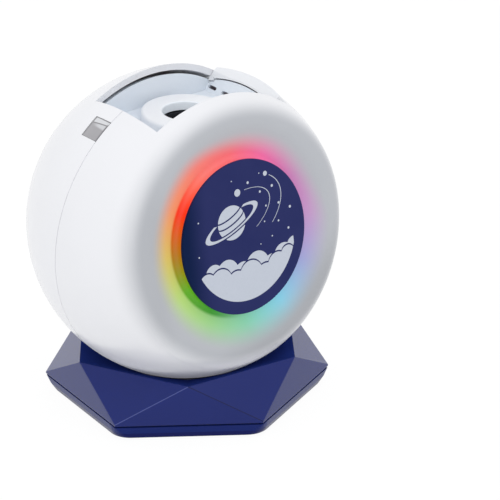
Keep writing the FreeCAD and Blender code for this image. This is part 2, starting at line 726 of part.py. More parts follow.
def main_board():
    board = box(-41, 41, BOARD_Y, BOARD_Y + BOARD_THICKNESS, -39, 35)
    for x, z in BOARD_POSTS:
        board = board.cut(rod(x, z, BOARD_Y - 1, BOARD_Y + 3, 1.6))
    return board


def main_board_chips():
    """Processor, memory, coils and capacitors on the side of the board that faces the engine."""
    front = BOARD_Y
    chips = [
        box(-9, 7, front - 1.6, front, -4, 12),
        box(14, 24, front - 1.2, front, -2, 10),
        box(-26, -16, front - 1.2, front, 0, 7),
        box(16, 24, front - 4.0, front, -26, -18),
        box(4, 12, front - 4.0, front, -26, -18),
        box(-10, -4, front - 1.4, front, -27, -22),
    ]
    for x, z in ((-20, -24), (-29, -24), (30, -10)):
        chips.append(rod(x, z, front - 9, front, 3.5))
    return Part.makeCompound(chips)


def main_board_connectors():
    """Plug housings on the side of the board that faces the speaker."""
    back = BOARD_Y + BOARD_THICKNESS
    blocks = []
    for x, z, width in ((-22, 24, 12), (0, 24, 8), (20, 24, 16), (-22, -30, 8), (16, -30, 12)):
        block = box(x - width / 2, x + width / 2, back, back + 6, z - 2.5, z + 2.5)
        blocks.append(block.cut(box(x - width / 2 + 0.8, x + width / 2 - 0.8, back + 1, back + 7, z - 1.7, z + 1.7)))
    return Part.makeCompound(blocks)


def room_for_tray():
    """Space the well takes out of the top of the glow ring."""
    return box(-46, 46, WELL_FRONT - TRAY_WALL - 0.6, 0, WELL_FLOOR - TRAY_WALL - 0.8, FAR / 2)


def glow_channel():
    """Ring-shaped trough behind the dish that keeps the light in its ring."""
    trough = revolve_points([(44.0, 36.9), (58.8, 36.9), (58.8, 56.0), (57.6, 56.0), (57.6, 38.4),
                             (45.2, 38.4), (45.2, 50.0), (44.0, 50.0)])
    return in_panel_frame(trough).common(front_solid(SHELL_WALL + 0.1)).cut(room_for_tray())


def glow_board():
    board = revolve_points([(45.4, 38.4), (57.4, 38.4), (57.4, 40.0), (45.4, 40.0)])
    return in_panel_frame(board).cut(room_for_tray())


def glow_leds():
    led = box(-2.5, 2.5, 46.9, 51.9, 40.0, 41.6)
    return Part.makeCompound([in_panel_frame(turned(led, Z_AXIS, 22.5 * k)) for k in range(16)])


def disc_panel():
    """Round navy panel with a softened edge, set on the pedestal."""
    disc = post(0, 0, PANEL_FACE - PANEL_THICKNESS, PANEL_FACE, PANEL_RADIUS)
    rim = [edge for edge in disc.Edges if edge.Closed and edge.BoundBox.ZMin > PANEL_FACE - 0.1]
    return in_panel_frame(disc.makeFillet(0.7, rim))


# Speaker and controls


def speaker_piece(points):
    """Turned piece on the speaker's axis: (radius, depth) with depth 0 at the inside of the flat."""
    turned_piece = revolve_points([(radius, -depth) for radius, depth in points])
    upright = turned(turned_piece, X_AXIS, -90)
    return moved(upright, 0, REAR_FLAT_Y - SHELL_WALL, SPEAKER_Z)


def speaker_basket():
    return speaker_piece([(20.5, 0), (SPEAKER_RADIUS, 0), (SPEAKER_RADIUS, 1.6), (21.5, 1.6), (12.5, 12.0),
                          (12.5, 14.0), (7.0, 14.0), (7.0, 12.6), (11.3, 12.6), (11.3, 11.4), (20.5, 0.8)])


def speaker_cone():
    return speaker_piece([(20.5, 0.8), (7.6, 9.4), (6.0, 9.4), (6.0, 12.4), (0, 12.4), (0, 8.0), (6.0, 8.0),
                          (18.6, 0.8), (19.5, 0.4), (20.5, 0.4)])


def speaker_magnet():
    return speaker_piece([(0, 14.0), (15.0, 14.0), (15.0, 22.0), (0, 22.0)])


def button_board():
    return box(-22, 22, 68.0, 69.6, BUTTON_Z - 5.5, BUTTON_Z + 5.0)


def button_switches():
    switches = []
    for x, z in button_places():
        body = box(x - 3, x + 3, 69.6, 72.8, z - 3, z + 3)
        switches.append(body.fuse(rod(x, z, 72.8, 73.6, 1.75)))
    return Part.makeCompound(switches)


def button(place):
    """Push button: domed cap through the flat, with a flange that keeps it in."""
    x, z = place
    foot = REAR_FLAT_Y - SHELL_WALL - 1.5
    cap = rod(x, z, foot, REAR_FLAT_Y + BUTTON_PROUD, BUTTON_RADIUS)
    rim = [edge for edge in cap.Edges if edge.Closed and edge.BoundBox.YMin > REAR_FLAT_Y]
    cap = cap.makeFillet(0.6, rim)
    return cap.fuse(rod(x, z, foot, foot + 1.2, BUTTON_RADIUS + 1.0)).removeSplitter()


def dc_jack():
    """Power inlet: a block behind the flat, its nose in the flat and a pin in its bore."""
    face = REAR_FLAT_Y - SHELL_WALL
    body = box(-5.5, 5.5, face - 12, face, INLET_Z - 5, INLET_Z + 5.5)
    jack = body.fuse(rod(0, INLET_Z, face - 1, REAR_FLAT_Y - 0.4, 4.6))
    jack = jack.cut(rod(0, INLET_Z, face - 9, REAR_FLAT_Y + 1, 3.2))
    return jack.fuse(rod(0, INLET_Z, face - 9.5, face - 0.5, 1.05))


# Fasteners inside the ball


def shell_screws():
    fastener = turned(screw(3.0, 2.2, 1.45, 24), X_AXIS, -90)
    return Part.makeCompound([moved(fastener, x, 12, z) for x, z in JOIN_BOSSES])


def board_screws():
    fastener = turned(screw(2.6, 1.8, 1.25, 9), X_AXIS, 90)
    return Part.makeCompound([moved(fastener, x, BOARD_Y, z) for x, z in BOARD_POSTS])


def tray_screws():
    fastener = turned(screw(2.2, 1.6, 1.25, 4.3), X_AXIS, 180)
    return Part.makeCompound([moved(fastener, x, y, TRAY_EAR_TOP - 2) for x, y in TRAY_POSTS])


def engine_screws():
    fastener = turned(screw(2.8, 2.0, 1.25, 13), X_AXIS, 180)
    places = [(x, y) for x in (-POST_X, POST_X) for y in (-POST_Y, POST_Y)]
    return Part.makeCompound([moved(fastener, x, y, CASE_TOP - 3) for x, y in places])


def fan_screws():
    fastener = turned(screw(2.8, 2.0, 1.45, 42), X_AXIS, 180)
    places = [(x, y) for x in (-STACK_SCREW_X, STACK_SCREW_X) for y in (-STACK_SCREW_Y, STACK_SCREW_Y)]
    return Part.makeCompound([moved(fastener, x, y, FAN_BOTTOM) for x, y in places])


# Base


def faceted_block(rim_radius, rim_z, ridge_radius, ridge_z):
    """Six-sided block whose top is turned half a step, so that its sides are twelve triangles."""
    low = hexagon(rim_radius, rim_z, BASE_TURN)
    high = hexagon(ridge_radius, ridge_z, BASE_TURN + 30)
    faces = [face_of(low), face_of(high)]
    for k in range(6):
        faces.append(face_of([low[k], low[(k + 1) % 6], high[k]]))
        faces.append(face_of([high[k - 1], high[k], low[k]]))
    return Part.Solid(Part.Shell(faces))


def pit_block(inset):
    """Six-sided pit inside the ridge, its walls sloping down towards the bowl."""
    drop = 30.0
    apothem = RIDGE_RADIUS * cosine(30)
    shift = inset / cosine(PIT_SLOPE)
    top_z = RIDGE_Z + 5 - shift
    low_z = RIDGE_Z - drop - shift
    top_radius = (apothem + 5 / math.tan(math.radians(PIT_SLOPE))) / cosine(30)
    low_apothem = apothem - drop / math.tan(math.radians(PIT_SLOPE))
    if low_apothem < 1:
        low_z = RIDGE_Z - shift - (apothem - 1) * math.tan(math.radians(PIT_SLOPE))
        low_apothem = 1
    low = hexagon(low_apothem / cosine(30), low_z, BASE_TURN + 30)
    high = hexagon(top_radius, top_z, BASE_TURN + 30)
    loft = Part.makeLoft([Part.makePolygon(low + low[:1]), Part.makePolygon(high + high[:1])], True, True)
    return loft


def at_ball(shape):
    return moved(shape, z=BALL_HEIGHT)


def prism(radius, z_0, z_1):
    return face_of(hexagon(radius, z_0, BASE_TURN)).extrude(vec(0, 0, z_1 - z_0))


def base_screw_places():
    return hexagon(BASE_SCREW_RADIUS, 0, BASE_TURN + 30)


def base_deck():
    """Faceted upper moulding with the pit, the bowl for the ball and the bearing for the cradle."""
    block = faceted_block(RIM_RADIUS, RIM_Z, RIDGE_RADIUS, RIDGE_Z)
    block = block.fuse(prism(RIM_RADIUS, RIM_Z - RIM_LIP, RIM_Z))
    hollow = faceted_block(RIM_RADIUS - 3.4, RIM_Z, RIDGE_RADIUS - 4.0, RIDGE_Z - 3.4)
    hollow = hollow.fuse(prism(RIM_RADIUS - 3.4, RIM_Z - RIM_LIP - 1, RIM_Z))
    under_pit = pit_block(DECK_WALL).fuse(at_ball(ball(DECK_FLOOR)))
    under_pit = under_pit.common(box(-FAR, FAR, -FAR, FAR, 0, RIDGE_Z))
    hollow = hollow.cut(under_pit)
    deck = block.cut(hollow)
    pieces = [deck]
    for place in base_screw_places():
        pieces.append(post(place.x, place.y, RIM_Z - RIM_LIP, RIDGE_Z - 6, 3.6))
    deck = fused(pieces)
    recess_edge = CRADLE_RECESS * cosine(CRADLE_EDGE + 1.2)
    recess = at_ball(ball(CRADLE_RECESS)).common(box(-FAR, FAR, -FAR, FAR, 0, BALL_HEIGHT - recess_edge))
    deck = deck.cut(pit_block(0)).cut(at_ball(ball(BOWL_RADIUS))).cut(recess)
    deck = deck.cut(post(0, 0, 0, 30, SPINDLE_RADIUS + RUNNING_GAP))
    for place in base_screw_places():
        deck = deck.cut(post(place.x, place.y, 0, RIM_Z + 9, 1.5))
    return deck


def rounded_hexagon(radius, z):
    """Hexagon wire with rounded corners."""
    corners = hexagon(radius, z, BASE_TURN)
    back = TRAY_CORNER * math.tan(math.radians(30))
    edges = []
    starts = []
    ends = []
    for k in range(6):
        here = corners[k]
        before = corners[k - 1] - here
        after = corners[(k + 1) % 6] - here
        before.normalize()
        after.normalize()
        starts.append(here + before * back)
        ends.append(here + after * back)
    for k in range(6):
        centre_way = vec(-corners[k].x, -corners[k].y, 0)
        centre_way.normalize()
        centre = corners[k] + centre_way * (TRAY_CORNER / cosine(30))
        edges.append(arc_about(centre, TRAY_CORNER, starts[k], ends[k]))
        edges.append(line(ends[k], starts[(k + 1) % 6]))
    return Part.Wire(edges)


def base_tray():
    """Lower moulding: tapered wall, locating neck, screw bosses and seats for the feet."""
    outer = Part.makeLoft([rounded_hexagon(TRAY_BOTTOM_RADIUS, TRAY_BOTTOM_Z),
                           rounded_hexagon(TRAY_TOP_RADIUS, TRAY_TOP_Z)], True, True)
    floor = TRAY_BOTTOM_Z + 1.8
    tray = outer.fuse(prism(NECK_RADIUS, TRAY_TOP_Z - 1, NECK_TOP))
    tray = tray.cut(prism(NECK_RADIUS - 2.2, TRAY_TOP_Z - 1, NECK_TOP + 1))
    tray = tray.cut(prism(TRAY_BOTTOM_RADIUS - 3.0, floor, TRAY_TOP_Z))
    pieces = [tray]
    for place in base_screw_places():
        pieces.append(post(place.x, place.y, TRAY_BOTTOM_Z + 0.5, RIM_Z - RIM_LIP, 4.2))
    tray = fused(pieces)
    for place in base_screw_places():
        tray = tray.cut(post(place.x, place.y, 0, RIM_Z, 1.7))
        tray = tray.cut(post(place.x, place.y, 0, 5.0, 3.3))
    for place in hexagon(FOOT_RING, 0, BASE_TURN):
        tray = tray.cut(post(place.x, place.y, 0, TRAY_BOTTOM_Z + 0.8, FOOT_RADIUS + 0.1))
    return tray


def base_feet():
    feet = []
    for place in hexagon(FOOT_RING, 0, BASE_TURN):
        foot = post(place.x, place.y, 0, TRAY_BOTTOM_Z + 0.8, FOOT_RADIUS)
        feet.append(foot.makeFillet(0.5, [e for e in foot.Edges if e.Closed and e.BoundBox.ZMax < 0.1]))
    return Part.makeCompound(feet)


def base_screws():
    fastener = turned(screw(2.9, 2.0, 1.45, 12), X_AXIS, 180)
    return Part.makeCompound([moved(fastener, place.x, place.y, 5.0) for place in base_screw_places()])


def ball_cradle():
    """Shallow cup that carries the ball and turns on a spindle in the base."""
    below = box(-FAR, FAR, -FAR, FAR, -FAR, -CRADLE_OUTER * cosine(CRADLE_EDGE))
    cup = ball(CRADLE_OUTER).common(below).fuse(post(0, 0, -DECK_FLOOR - 0.6, -CRADLE_OUTER + 1, SPINDLE_RADIUS))
    cup = cup.cut(ball(CRADLE_INNER))
    groove = ball(CRADLE_INNER + 0.9).common(post(0, 0, -FAR, 0, GRIP_RING_OUTER))
    cup = cup.cut(groove.cut(post(0, 0, -FAR, 0, GRIP_RING_INNER)))
    return at_ball(cup.cut(post(0, 0, -DECK_FLOOR - 1, -CRADLE_INNER - 0.9, 1.5)))


def cradle_grip_ring():
    """Rubber ring that holds the ball at the tilt it is left at."""
    ring = ball(CRADLE_INNER + 0.9).cut(ball(BALL_RADIUS + 0.3))
    ring = ring.common(post(0, 0, -FAR, 0, GRIP_RING_OUTER)).cut(post(0, 0, -FAR, 0, GRIP_RING_INNER))
    return at_ball(ring)


def cradle_washer():
    top = BALL_HEIGHT - DECK_FLOOR - 0.6
    return post(0, 0, top - 1.0, top, 10.0).cut(post(0, 0, 0, top + 1, 1.7))


def cradle_screw():
    top = BALL_HEIGHT - DECK_FLOOR - 0.6
    return moved(turned(screw(3.2, 2.0, 1.45, 4.6), X_AXIS, 180), z=top - 1.0)


BALL_NODES = {
    "front_shell": front_shell,
    "rear_shell": rear_shell,
    "receiver_window": receiver_window,
    "receiver_board": receiver_board,
    "receiver_sensor": receiver_sensor,
    "lens_tray": lens_tray,
    "shutter": shutter,
    "focus_ring": focus_ring,
    "lens_barrel": lens_barrel,
    "front_lens": front_lens,
    "lens_retainer": lens_retainer,
    "rear_lens": rear_lens,
    "engine_case": engine_case,
    "lcd_panel": lcd_panel,
    "condenser_lens": condenser_lens,
    "light_reflector": light_reflector,
    "lamp_board": lamp_board,
    "lamp_led": lamp_led,
    "heatsink": heatsink,
    "fan_frame": fan_frame,
    "fan_rotor": fan_rotor,
    "main_board": main_board,
    "main_board_chips": main_board_chips,
    "main_board_connectors": main_board_connectors,
    "glow_channel": glow_channel,
    "glow_board": glow_board,
    "glow_leds": glow_leds,
    "disc_panel": disc_panel,
    "speaker_basket": speaker_basket,
    "speaker_cone": speaker_cone,
    "speaker_magnet": speaker_magnet,
    "button_board": button_board,
    "button_switches": button_switches,
    "dc_jack": dc_jack,
    "shell_screws": shell_screws,
    "board_screws": board_screws,
    "tray_screws": tray_screws,
    "engine_screws": engine_screws,
    "fan_screws": fan_screws,
}

BASE_NODES = {
    "base_deck": base_deck,
    "base_tray": base_tray,
    "base_feet": base_feet,
    "base_screws": base_screws,
    "ball_cradle": ball_cradle,
    "cradle_grip_ring": cradle_grip_ring,
    "cradle_washer": cradle_washer,
    "cradle_screw": cradle_screw,
}

os.makedirs("parts", exist_ok=True)
for name, make in BALL_NODES.items():
    in_ball(make()).exportStep("parts/" + name + ".step")
for name, place in zip(("power_button", "volume_up_button", "volume_down_button"), button_places()):
    in_ball(button(place)).exportStep("parts/" + name + ".step")
for name, make in BASE_NODES.items():
    make().exportStep("parts/" + name + ".step")
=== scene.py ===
import math

import bmesh
import bpy
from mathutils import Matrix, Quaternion, Vector


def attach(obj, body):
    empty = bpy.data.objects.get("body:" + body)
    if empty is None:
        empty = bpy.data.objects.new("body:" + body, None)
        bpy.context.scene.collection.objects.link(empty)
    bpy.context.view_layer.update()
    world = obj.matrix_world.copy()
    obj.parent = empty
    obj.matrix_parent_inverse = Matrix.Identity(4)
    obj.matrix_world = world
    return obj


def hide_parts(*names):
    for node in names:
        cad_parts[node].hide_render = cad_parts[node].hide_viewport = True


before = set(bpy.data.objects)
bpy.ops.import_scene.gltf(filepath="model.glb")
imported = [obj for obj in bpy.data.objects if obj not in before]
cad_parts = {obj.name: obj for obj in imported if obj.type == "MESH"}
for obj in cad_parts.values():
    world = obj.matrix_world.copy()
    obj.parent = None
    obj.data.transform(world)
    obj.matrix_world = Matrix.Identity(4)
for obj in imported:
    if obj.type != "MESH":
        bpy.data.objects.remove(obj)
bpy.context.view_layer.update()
scene = bpy.context.scene
scene.view_settings.view_transform = "Standard"

# The viewpoint
# A long lens looks down on the projector from its front left, aimed a little right of the ball
# and below it, and tilted by half a degree.
ball_centre = Vector((0.0, 0.0, 0.1035))
camera_azimuth = math.radians(-38.25)
camera_elevation = math.radians(21.95)
camera_distance = 1.3188
camera_lens = 165.76
camera_roll = math.radians(-0.584)
aim_point = ball_centre + Vector((0.02495, -0.02877, -0.0160))

camera_data = bpy.data.cameras.new("viewpoint")
camera_data.lens = camera_lens
camera_data.sensor_width = 36
camera_data.clip_start = 0.05
camera_data.clip_end = 20
camera = bpy.data.objects.new("viewpoint", camera_data)
camera.location = ball_centre + camera_distance * Vector((
    math.sin(camera_azimuth) * math.cos(camera_elevation),
    -math.cos(camera_azimuth) * math.cos(camera_elevation),
    math.sin(camera_elevation),
))
camera_turn = (aim_point - camera.location).to_track_quat("-Z", "Y")
camera.rotation_mode = "QUATERNION"
camera.rotation_quaternion = camera_turn @ Quaternion((0, 0, 1), camera_roll)
scene.collection.objects.link(camera)
scene.camera = camera

# The studio
# A white tent gives nearly all the light, with weak soft lamps at the left, in front and above,
# and the floor is white paper that keeps a faint shadow of the base.


def paint(red, green, blue):
    """A colour as it looks on a screen, 0 to 255, by the usual screen curve in linear numbers."""
    shares = [level / 255 for level in (red, green, blue)]
    linear = [share / 12.92 if share < 0.04045 else ((share + 0.055) / 1.055) ** 2.4 for share in shares]
    return (*linear, 1.0)


class Wire:
    """A socket in a material, with arithmetic that adds the nodes it needs."""

    def __init__(self, tree, socket=None):
        self.tree = tree
        self.socket = socket

    def node(self, kind, settings=None, inputs=None, output=0):
        """A new node of any type: its settings first, then the values or links of its sockets."""
        made = self.tree.nodes.new(kind)
        for name, value in (settings or {}).items():
            if name == "stops":
                for place, colour in value[2:]:
                    made.color_ramp.elements.new(place)
                for element, (place, colour) in zip(made.color_ramp.elements, value):
                    element.position = place
                    element.color = colour
            else:
                setattr(made, name, value)
        for name, value in (inputs or {}).items():
            if isinstance(value, Wire):
                self.tree.links.new(value.socket, made.inputs[name])
            else:
                made.inputs[name].default_value = value
        return Wire(self.tree, made.outputs[output]) if made.outputs else None

    def maths(self, operation, first, second=0.0):
        return self.node("ShaderNodeMath", {"operation": operation}, {0: first, 1: second})

    def vectors(self, operation, inputs, output=0):
        return self.node("ShaderNodeVectorMath", {"operation": operation}, inputs, output)

    def __add__(self, other):
        return self.maths("ADD", self, other)

    def __sub__(self, other):
        return self.maths("SUBTRACT", self, other)

    def __rsub__(self, other):
        return self.maths("SUBTRACT", other, self)

    def __mul__(self, other):
        return self.maths("MULTIPLY", self, other)

    def __truediv__(self, other):
        return self.maths("DIVIDE", self, other)

    __radd__ = __add__
    __rmul__ = __mul__

    def step(self, low, high):
        """0 at low and 1 at high, with a smooth rise between; high may be the smaller."""
        limits = {"Value": self, "From Min": low, "From Max": high}
        return self.node("ShaderNodeMapRange", {"interpolation_type": "SMOOTHSTEP"}, limits)

    def mix(self, low, high):
        """The colour low where this is 0, and high where it is 1."""
        return self.node("ShaderNodeMix", {"data_type": "RGBA"}, {0: self, 6: low, 7: high}, 2)

    def scaled(self, share):
        """This colour or vector times a number."""
        return self.vectors("SCALE", {0: self, 3: share})

    def along(self, direction, origin=(0, 0, 0)):
        """How far this place lies from origin along a direction."""
        offset = self.vectors("SUBTRACT", {0: self, 1: origin})
        return self.vectors("DOT_PRODUCT", {0: offset, 1: direction}, 1)

    def aside(self, direction, origin=(0, 0, 0)):
        """How far this place lies from the line through origin along a direction of length 1."""
        offset = self.vectors("SUBTRACT", {0: self, 1: origin})
        crossed = self.vectors("CROSS_PRODUCT", {0: offset, 1: direction})
        return self.vectors("LENGTH", {0: crossed}, 1)


class Finish:
    """A material under way. Its place wire holds the frame's metres at rest."""

    def __init__(self, name):
        self.material = bpy.data.materials.new(name)
        self.material.use_nodes = True
        self.material.node_tree.nodes.clear()
        self.wire = Wire(self.material.node_tree)
        self.place = self.wire.node("ShaderNodeTexCoord", output=3)

    def noise(self, size, detail=2.0, roughness=0.5):
        """Soft noise from 0 to 1 whose blots are about size metres across."""
        settings = {"Vector": self.place, "Scale": 1 / size, "Detail": detail, "Roughness": roughness}
        return self.wire.node("ShaderNodeTexNoise", {}, settings)

    def relief(self, height, depth, edge=0.0):
        """A normal from a height of 0 to 1, depth metres high, with edges eased by edge metres."""
        inputs = {"Height": height, "Distance": depth, "Strength": 1.0}
        if edge:
            inputs["Normal"] = self.wire.node("ShaderNodeBevel", {"samples": 6}, {"Radius": edge})
        return self.wire.node("ShaderNodeBump", {}, inputs)

    def end(self, shader):
        self.wire.node("ShaderNodeOutputMaterial", {}, {"Surface": shader})
        return self.material

    def plain(self, **sockets):
        """One principled surface; an underscore stands for the space in a socket's name."""
        named = {name.replace("_", " "): value for name, value in sockets.items()}
        return self.end(self.wire.node("ShaderNodeBsdfPrincipled", {}, named))


paper_half = 4.0
paper_drop = 0.0002
paper_shadow_kept = 0.07
paper_brightness = 1.02
pure_white = (1, 1, 1, 1)
lamp_list = {
    "lamp_left": ((-1.6, -1.0, 0.8), 1.5, 4.2),
    "lamp_front": ((0.0, -0.9, 1.6), 1.2, 2.2),
    "lamp_top": ((0.0, 0.2, 1.9), 1.6, 1.5),
}
room_brightness = 0.98

paper = bpy.data.meshes.new("paper")
paper_signs = ((-1, -1), (1, -1), (1, 1), (-1, 1))
paper_corners = [(x * paper_half, y * paper_half, -paper_drop) for x, y in paper_signs]
paper.from_pydata(paper_corners, [], [(0, 1, 2, 3)])
floor = bpy.data.objects.new("paper", paper)
scene.collection.objects.link(floor)


def seen_directly(wire):
    """1 for rays that show a background: from the camera, or by way of gloss or glass."""
    seen = wire.node("ShaderNodeLightPath", output="Is Camera Ray")
    for name in ("Is Glossy Ray", "Is Transmission Ray"):
        seen = wire.maths("MAXIMUM", seen, wire.node("ShaderNodeLightPath", output=name))
    return seen


paper_finish = Finish("paper_white")
paper_fibres = paper_finish.noise(0.004, 4.0)
paper_lit = paper_finish.wire.node(
    "ShaderNodeBsdfDiffuse", {}, {"Color": paper_fibres.mix(paint(238, 238, 238), paint(246, 246, 246))})
paper_glow = paper_finish.wire.node(
    "ShaderNodeEmission", {}, {"Color": pure_white, "Strength": paper_brightness})
paper_share = seen_directly(paper_finish.wire) * (1 - paper_shadow_kept)
paper_shader = paper_finish.wire.node(
    "ShaderNodeMixShader", {}, {0: paper_share, 1: paper_lit, 2: paper_glow})
floor.data.materials.append(paper_finish.end(paper_shader))

for name, (place, width, power) in lamp_list.items():
    lamp_data = bpy.data.lights.new(name, "AREA")
    lamp_data.shape = "SQUARE"
    lamp_data.size = width
    lamp_data.energy = power
    lamp = bpy.data.objects.new(name, lamp_data)
    lamp.location = place
    lamp.rotation_mode = "QUATERNION"
    lamp.rotation_quaternion = (ball_centre - Vector(place)).to_track_quat("-Z", "Y")
    scene.collection.objects.link(lamp)

room = bpy.data.worlds.new("room")
room.use_nodes = True
room.node_tree.nodes.clear()
room_wire = Wire(room.node_tree)
room_strength = seen_directly(room_wire) * (1 - room_brightness) + room_brightness
room_light = room_wire.node("ShaderNodeBackground", {}, {"Color": pure_white, "Strength": room_strength})
room_wire.node("ShaderNodeOutputWorld", {}, {"Surface": room_light})
scene.world = room


def dress(material, slot, *nodes):
    """Give CAD nodes a finish; slot, the name of the material slot that it stands for, is not used."""
    for name in nodes:
        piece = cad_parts[name]
        piece.data.materials.clear()
        piece.data.materials.append(material)


# The base
# A faceted deck moulded in indigo plastic, glossy outside and matt in its bowl. Twelve flat
# triangles run from the six-sided rim up to the ridge round the ball's seat; one fold at the
# viewer's left has a painted highlight along it, and the next one a painted line of shade.
indigo_gloss = Finish("indigo_gloss")
indigo_cloud = indigo_gloss.noise(0.040)
# Painted light along two folds, each with its two ends and its colour: a highlight on the first, shade on
# the second
painted_fold_lines = (
    (Vector((-0.0769, -0.0311, 0.0103)), Vector((-0.0436, -0.0559, 0.0325)), (72, 82, 142)),
    (Vector((-0.0436, -0.0559, 0.0325)), Vector((-0.0115, -0.0822, 0.0103)), (3, 12, 62)),
)
fold_reach = 0.00034
fold_core = 0.00014
base_turn = math.radians(-7.95)
ridge_flat = 0.0614
facet_left = Vector((-0.987, 0.162, 0))
facet_right = Vector((0.397, -0.918, 0))
facet_edge = 0.0709
facet_behind = 0.0098
facet_change = 0.0001
coat_left = 0.26
coat_right = 0.11


def faces_way(wire, sixth):
    """How far a place lies out from the middle, in a direction counted in sixths of a turn."""
    turn = base_turn + math.radians(60 * sixth)
    return wire.along((math.sin(turn), -math.cos(turn), 0))


indigo_colour = indigo_cloud.mix(paint(11, 29, 99), paint(16, 33, 105))
# Paint the highlight and the line of shade along the folds
for start, end, colour in painted_fold_lines:
    fold = indigo_gloss.place.aside((end - start).normalized(), start).step(fold_reach, fold_core)
    indigo_colour = fold.mix(indigo_colour, paint(*colour))


def past_facet(direction):
    """1 on the deck beyond its facets' edge in a direction, 0 before it."""
    return indigo_gloss.place.along(direction).step(facet_edge - facet_change, facet_edge + facet_change)


indigo_rear = indigo_gloss.place.along((0, 1, 0)).step(facet_behind, facet_behind + facet_change)
indigo_rear = indigo_rear * indigo_gloss.place.along((1, 0, 0)).step(0.0, -facet_change)
indigo_left = indigo_gloss.wire.maths("MAXIMUM", past_facet(facet_left), indigo_rear)
indigo_outer = indigo_gloss.wire.node("ShaderNodeBsdfPrincipled", {}, {
    "Base Color": indigo_colour,
    "Roughness": indigo_cloud * 0.05 + 0.20,
    "Specular IOR Level": 0.27,
    "Coat Weight": indigo_left * coat_left + past_facet(facet_right) * coat_right,
    "Coat Roughness": 0.2,
    "Normal": indigo_gloss.relief(indigo_cloud, 0.000004, 0.0004),
})
indigo_inner = indigo_gloss.wire.node("ShaderNodeBsdfPrincipled", {}, {
    "Base Color": indigo_cloud.mix(paint(25, 40, 100), paint(30, 44, 106)),
    "Roughness": indigo_cloud * 0.1 + 0.5,
    "Specular IOR Level": 0.0,
})
indigo_hexagon = 0.0
for sixth in range(6):
    indigo_side = faces_way(indigo_gloss.place, sixth)
    indigo_hexagon = indigo_gloss.wire.maths("MAXIMUM", indigo_hexagon, indigo_side)
indigo_bowl = indigo_hexagon.step(ridge_flat, ridge_flat - facet_change)
indigo_deck = indigo_gloss.end(indigo_gloss.wire.node(
    "ShaderNodeMixShader", {}, {0: indigo_bowl, 1: indigo_outer, 2: indigo_inner}))
dress(indigo_deck, "base_indigo", "base_deck")

# The tray
# The lower half of the base, moulded in satin indigo, with painted shade below the fold round
# its wall. Its corners are rounder than the CAD tray's, so a reshaped copy of that tray stands for it.
tray_fold_top = 0.0044
tray_fold_foot = 0.0040
tray_dull_start = 0.0650
tray_dull_full = 0.0690
tray_coat = 0.42

indigo_satin = Finish("indigo_satin")
satin_skin = indigo_satin.noise(0.0009, 4.0)
# Painted shade: the tray is darker below the fold round its wall
satin_low_shade = indigo_satin.place.along((0, 0, 1)).step(tray_fold_top, tray_fold_foot)
satin_side = faces_way(indigo_satin.place, -0.5).step(tray_dull_full, tray_dull_start)
satin_colour = indigo_satin.noise(0.04).mix(paint(24, 38, 100), paint(28, 42, 107))
indigo_tray = indigo_satin.plain(
    Base_Color=satin_low_shade.mix(satin_colour, paint(8, 19, 88)),
    Roughness=satin_skin * 0.08 + 0.34,
    Specular_IOR_Level=0.07,
    Coat_Weight=satin_side * tray_coat,
    Coat_Roughness=0.25,
    Normal=indigo_satin.relief(satin_skin, 0.00001, 0.0005),
)

# Heights, radii out to the six corners before these are rounded, and the radii of their rounds:
# first as the CAD tray has them, then as this tray has them at its top, its fold and its foot
tray_top = 0.0086
tray_foot = 0.0008
tray_band = 0.0042
cad_top_radius = 0.0819
cad_foot_radius = 0.0780
cad_corner = 0.0050
tray_ledge = 0.0082
tray_top_radius = 0.0828
tray_band_radius = 0.0818
tray_foot_radius = 0.0800
tray_foot_corner = 0.0130
tray_band_corner = 0.0075
tray_top_corner = 0.0020
height_slack = 0.00001
wall_slack = 0.00005
half_corner = math.tan(math.radians(30))
flat_share = math.cos(math.radians(30))


def wall_line(value, low, high, at_low, at_high):
    """A straight line in the tray's wall: at_low at low and at_high at high, read at value."""
    return at_low + (at_high - at_low) * (value - low) / (high - low)


def rounder_tray(corner):
    """Where a corner of the tray's outer wall stands once its corners are rounder, or None inside it."""
    if corner.z > tray_top + height_slack:
        return None
    side = round((math.atan2(corner.x, -corner.y) - base_turn) / math.radians(60) - 0.5)
    turn = base_turn + math.radians(60 * side + 30)
    outward = Vector((math.sin(turn), -math.cos(turn), 0))
    sideways = Vector((math.cos(turn), math.sin(turn), 0))
    out, along = corner.dot(outward), corner.dot(sideways)
    old_radius = wall_line(corner.z, tray_foot, tray_top, cad_foot_radius, cad_top_radius)
    old_flat = old_radius * flat_share
    if out < old_flat - cad_corner * (1 - flat_share) - wall_slack:
        return None
    if corner.z > tray_band + height_slack:
        height = wall_line(corner.z, tray_band, tray_top, tray_band, tray_ledge)
        radius = wall_line(corner.z, tray_band, tray_top, tray_band_radius, tray_top_radius)
        new_corner = wall_line(corner.z, tray_band, tray_top, tray_band_corner, tray_top_corner)
    else:
        height = corner.z
        radius = wall_line(corner.z, tray_foot, tray_band, tray_foot_radius, tray_band_radius)
        new_corner = wall_line(corner.z, tray_foot, tray_band, tray_foot_corner, tray_band_corner)
    flat = radius * flat_share
    old_half = old_radius / 2 - cad_corner * half_corner
    half = radius / 2 - new_corner * half_corner
    if abs(along) <= old_half:
        return outward * flat + sideways * (along / old_half * half) + Vector((0, 0, height))
    end = math.copysign(1, along)
    bend = new_corner / cad_corner
    out = flat - new_corner + (out - old_flat + cad_corner) * bend
    along = end * (half + (abs(along) - old_half) * bend)
    return outward * out + sideways * along + Vector((0, 0, height))


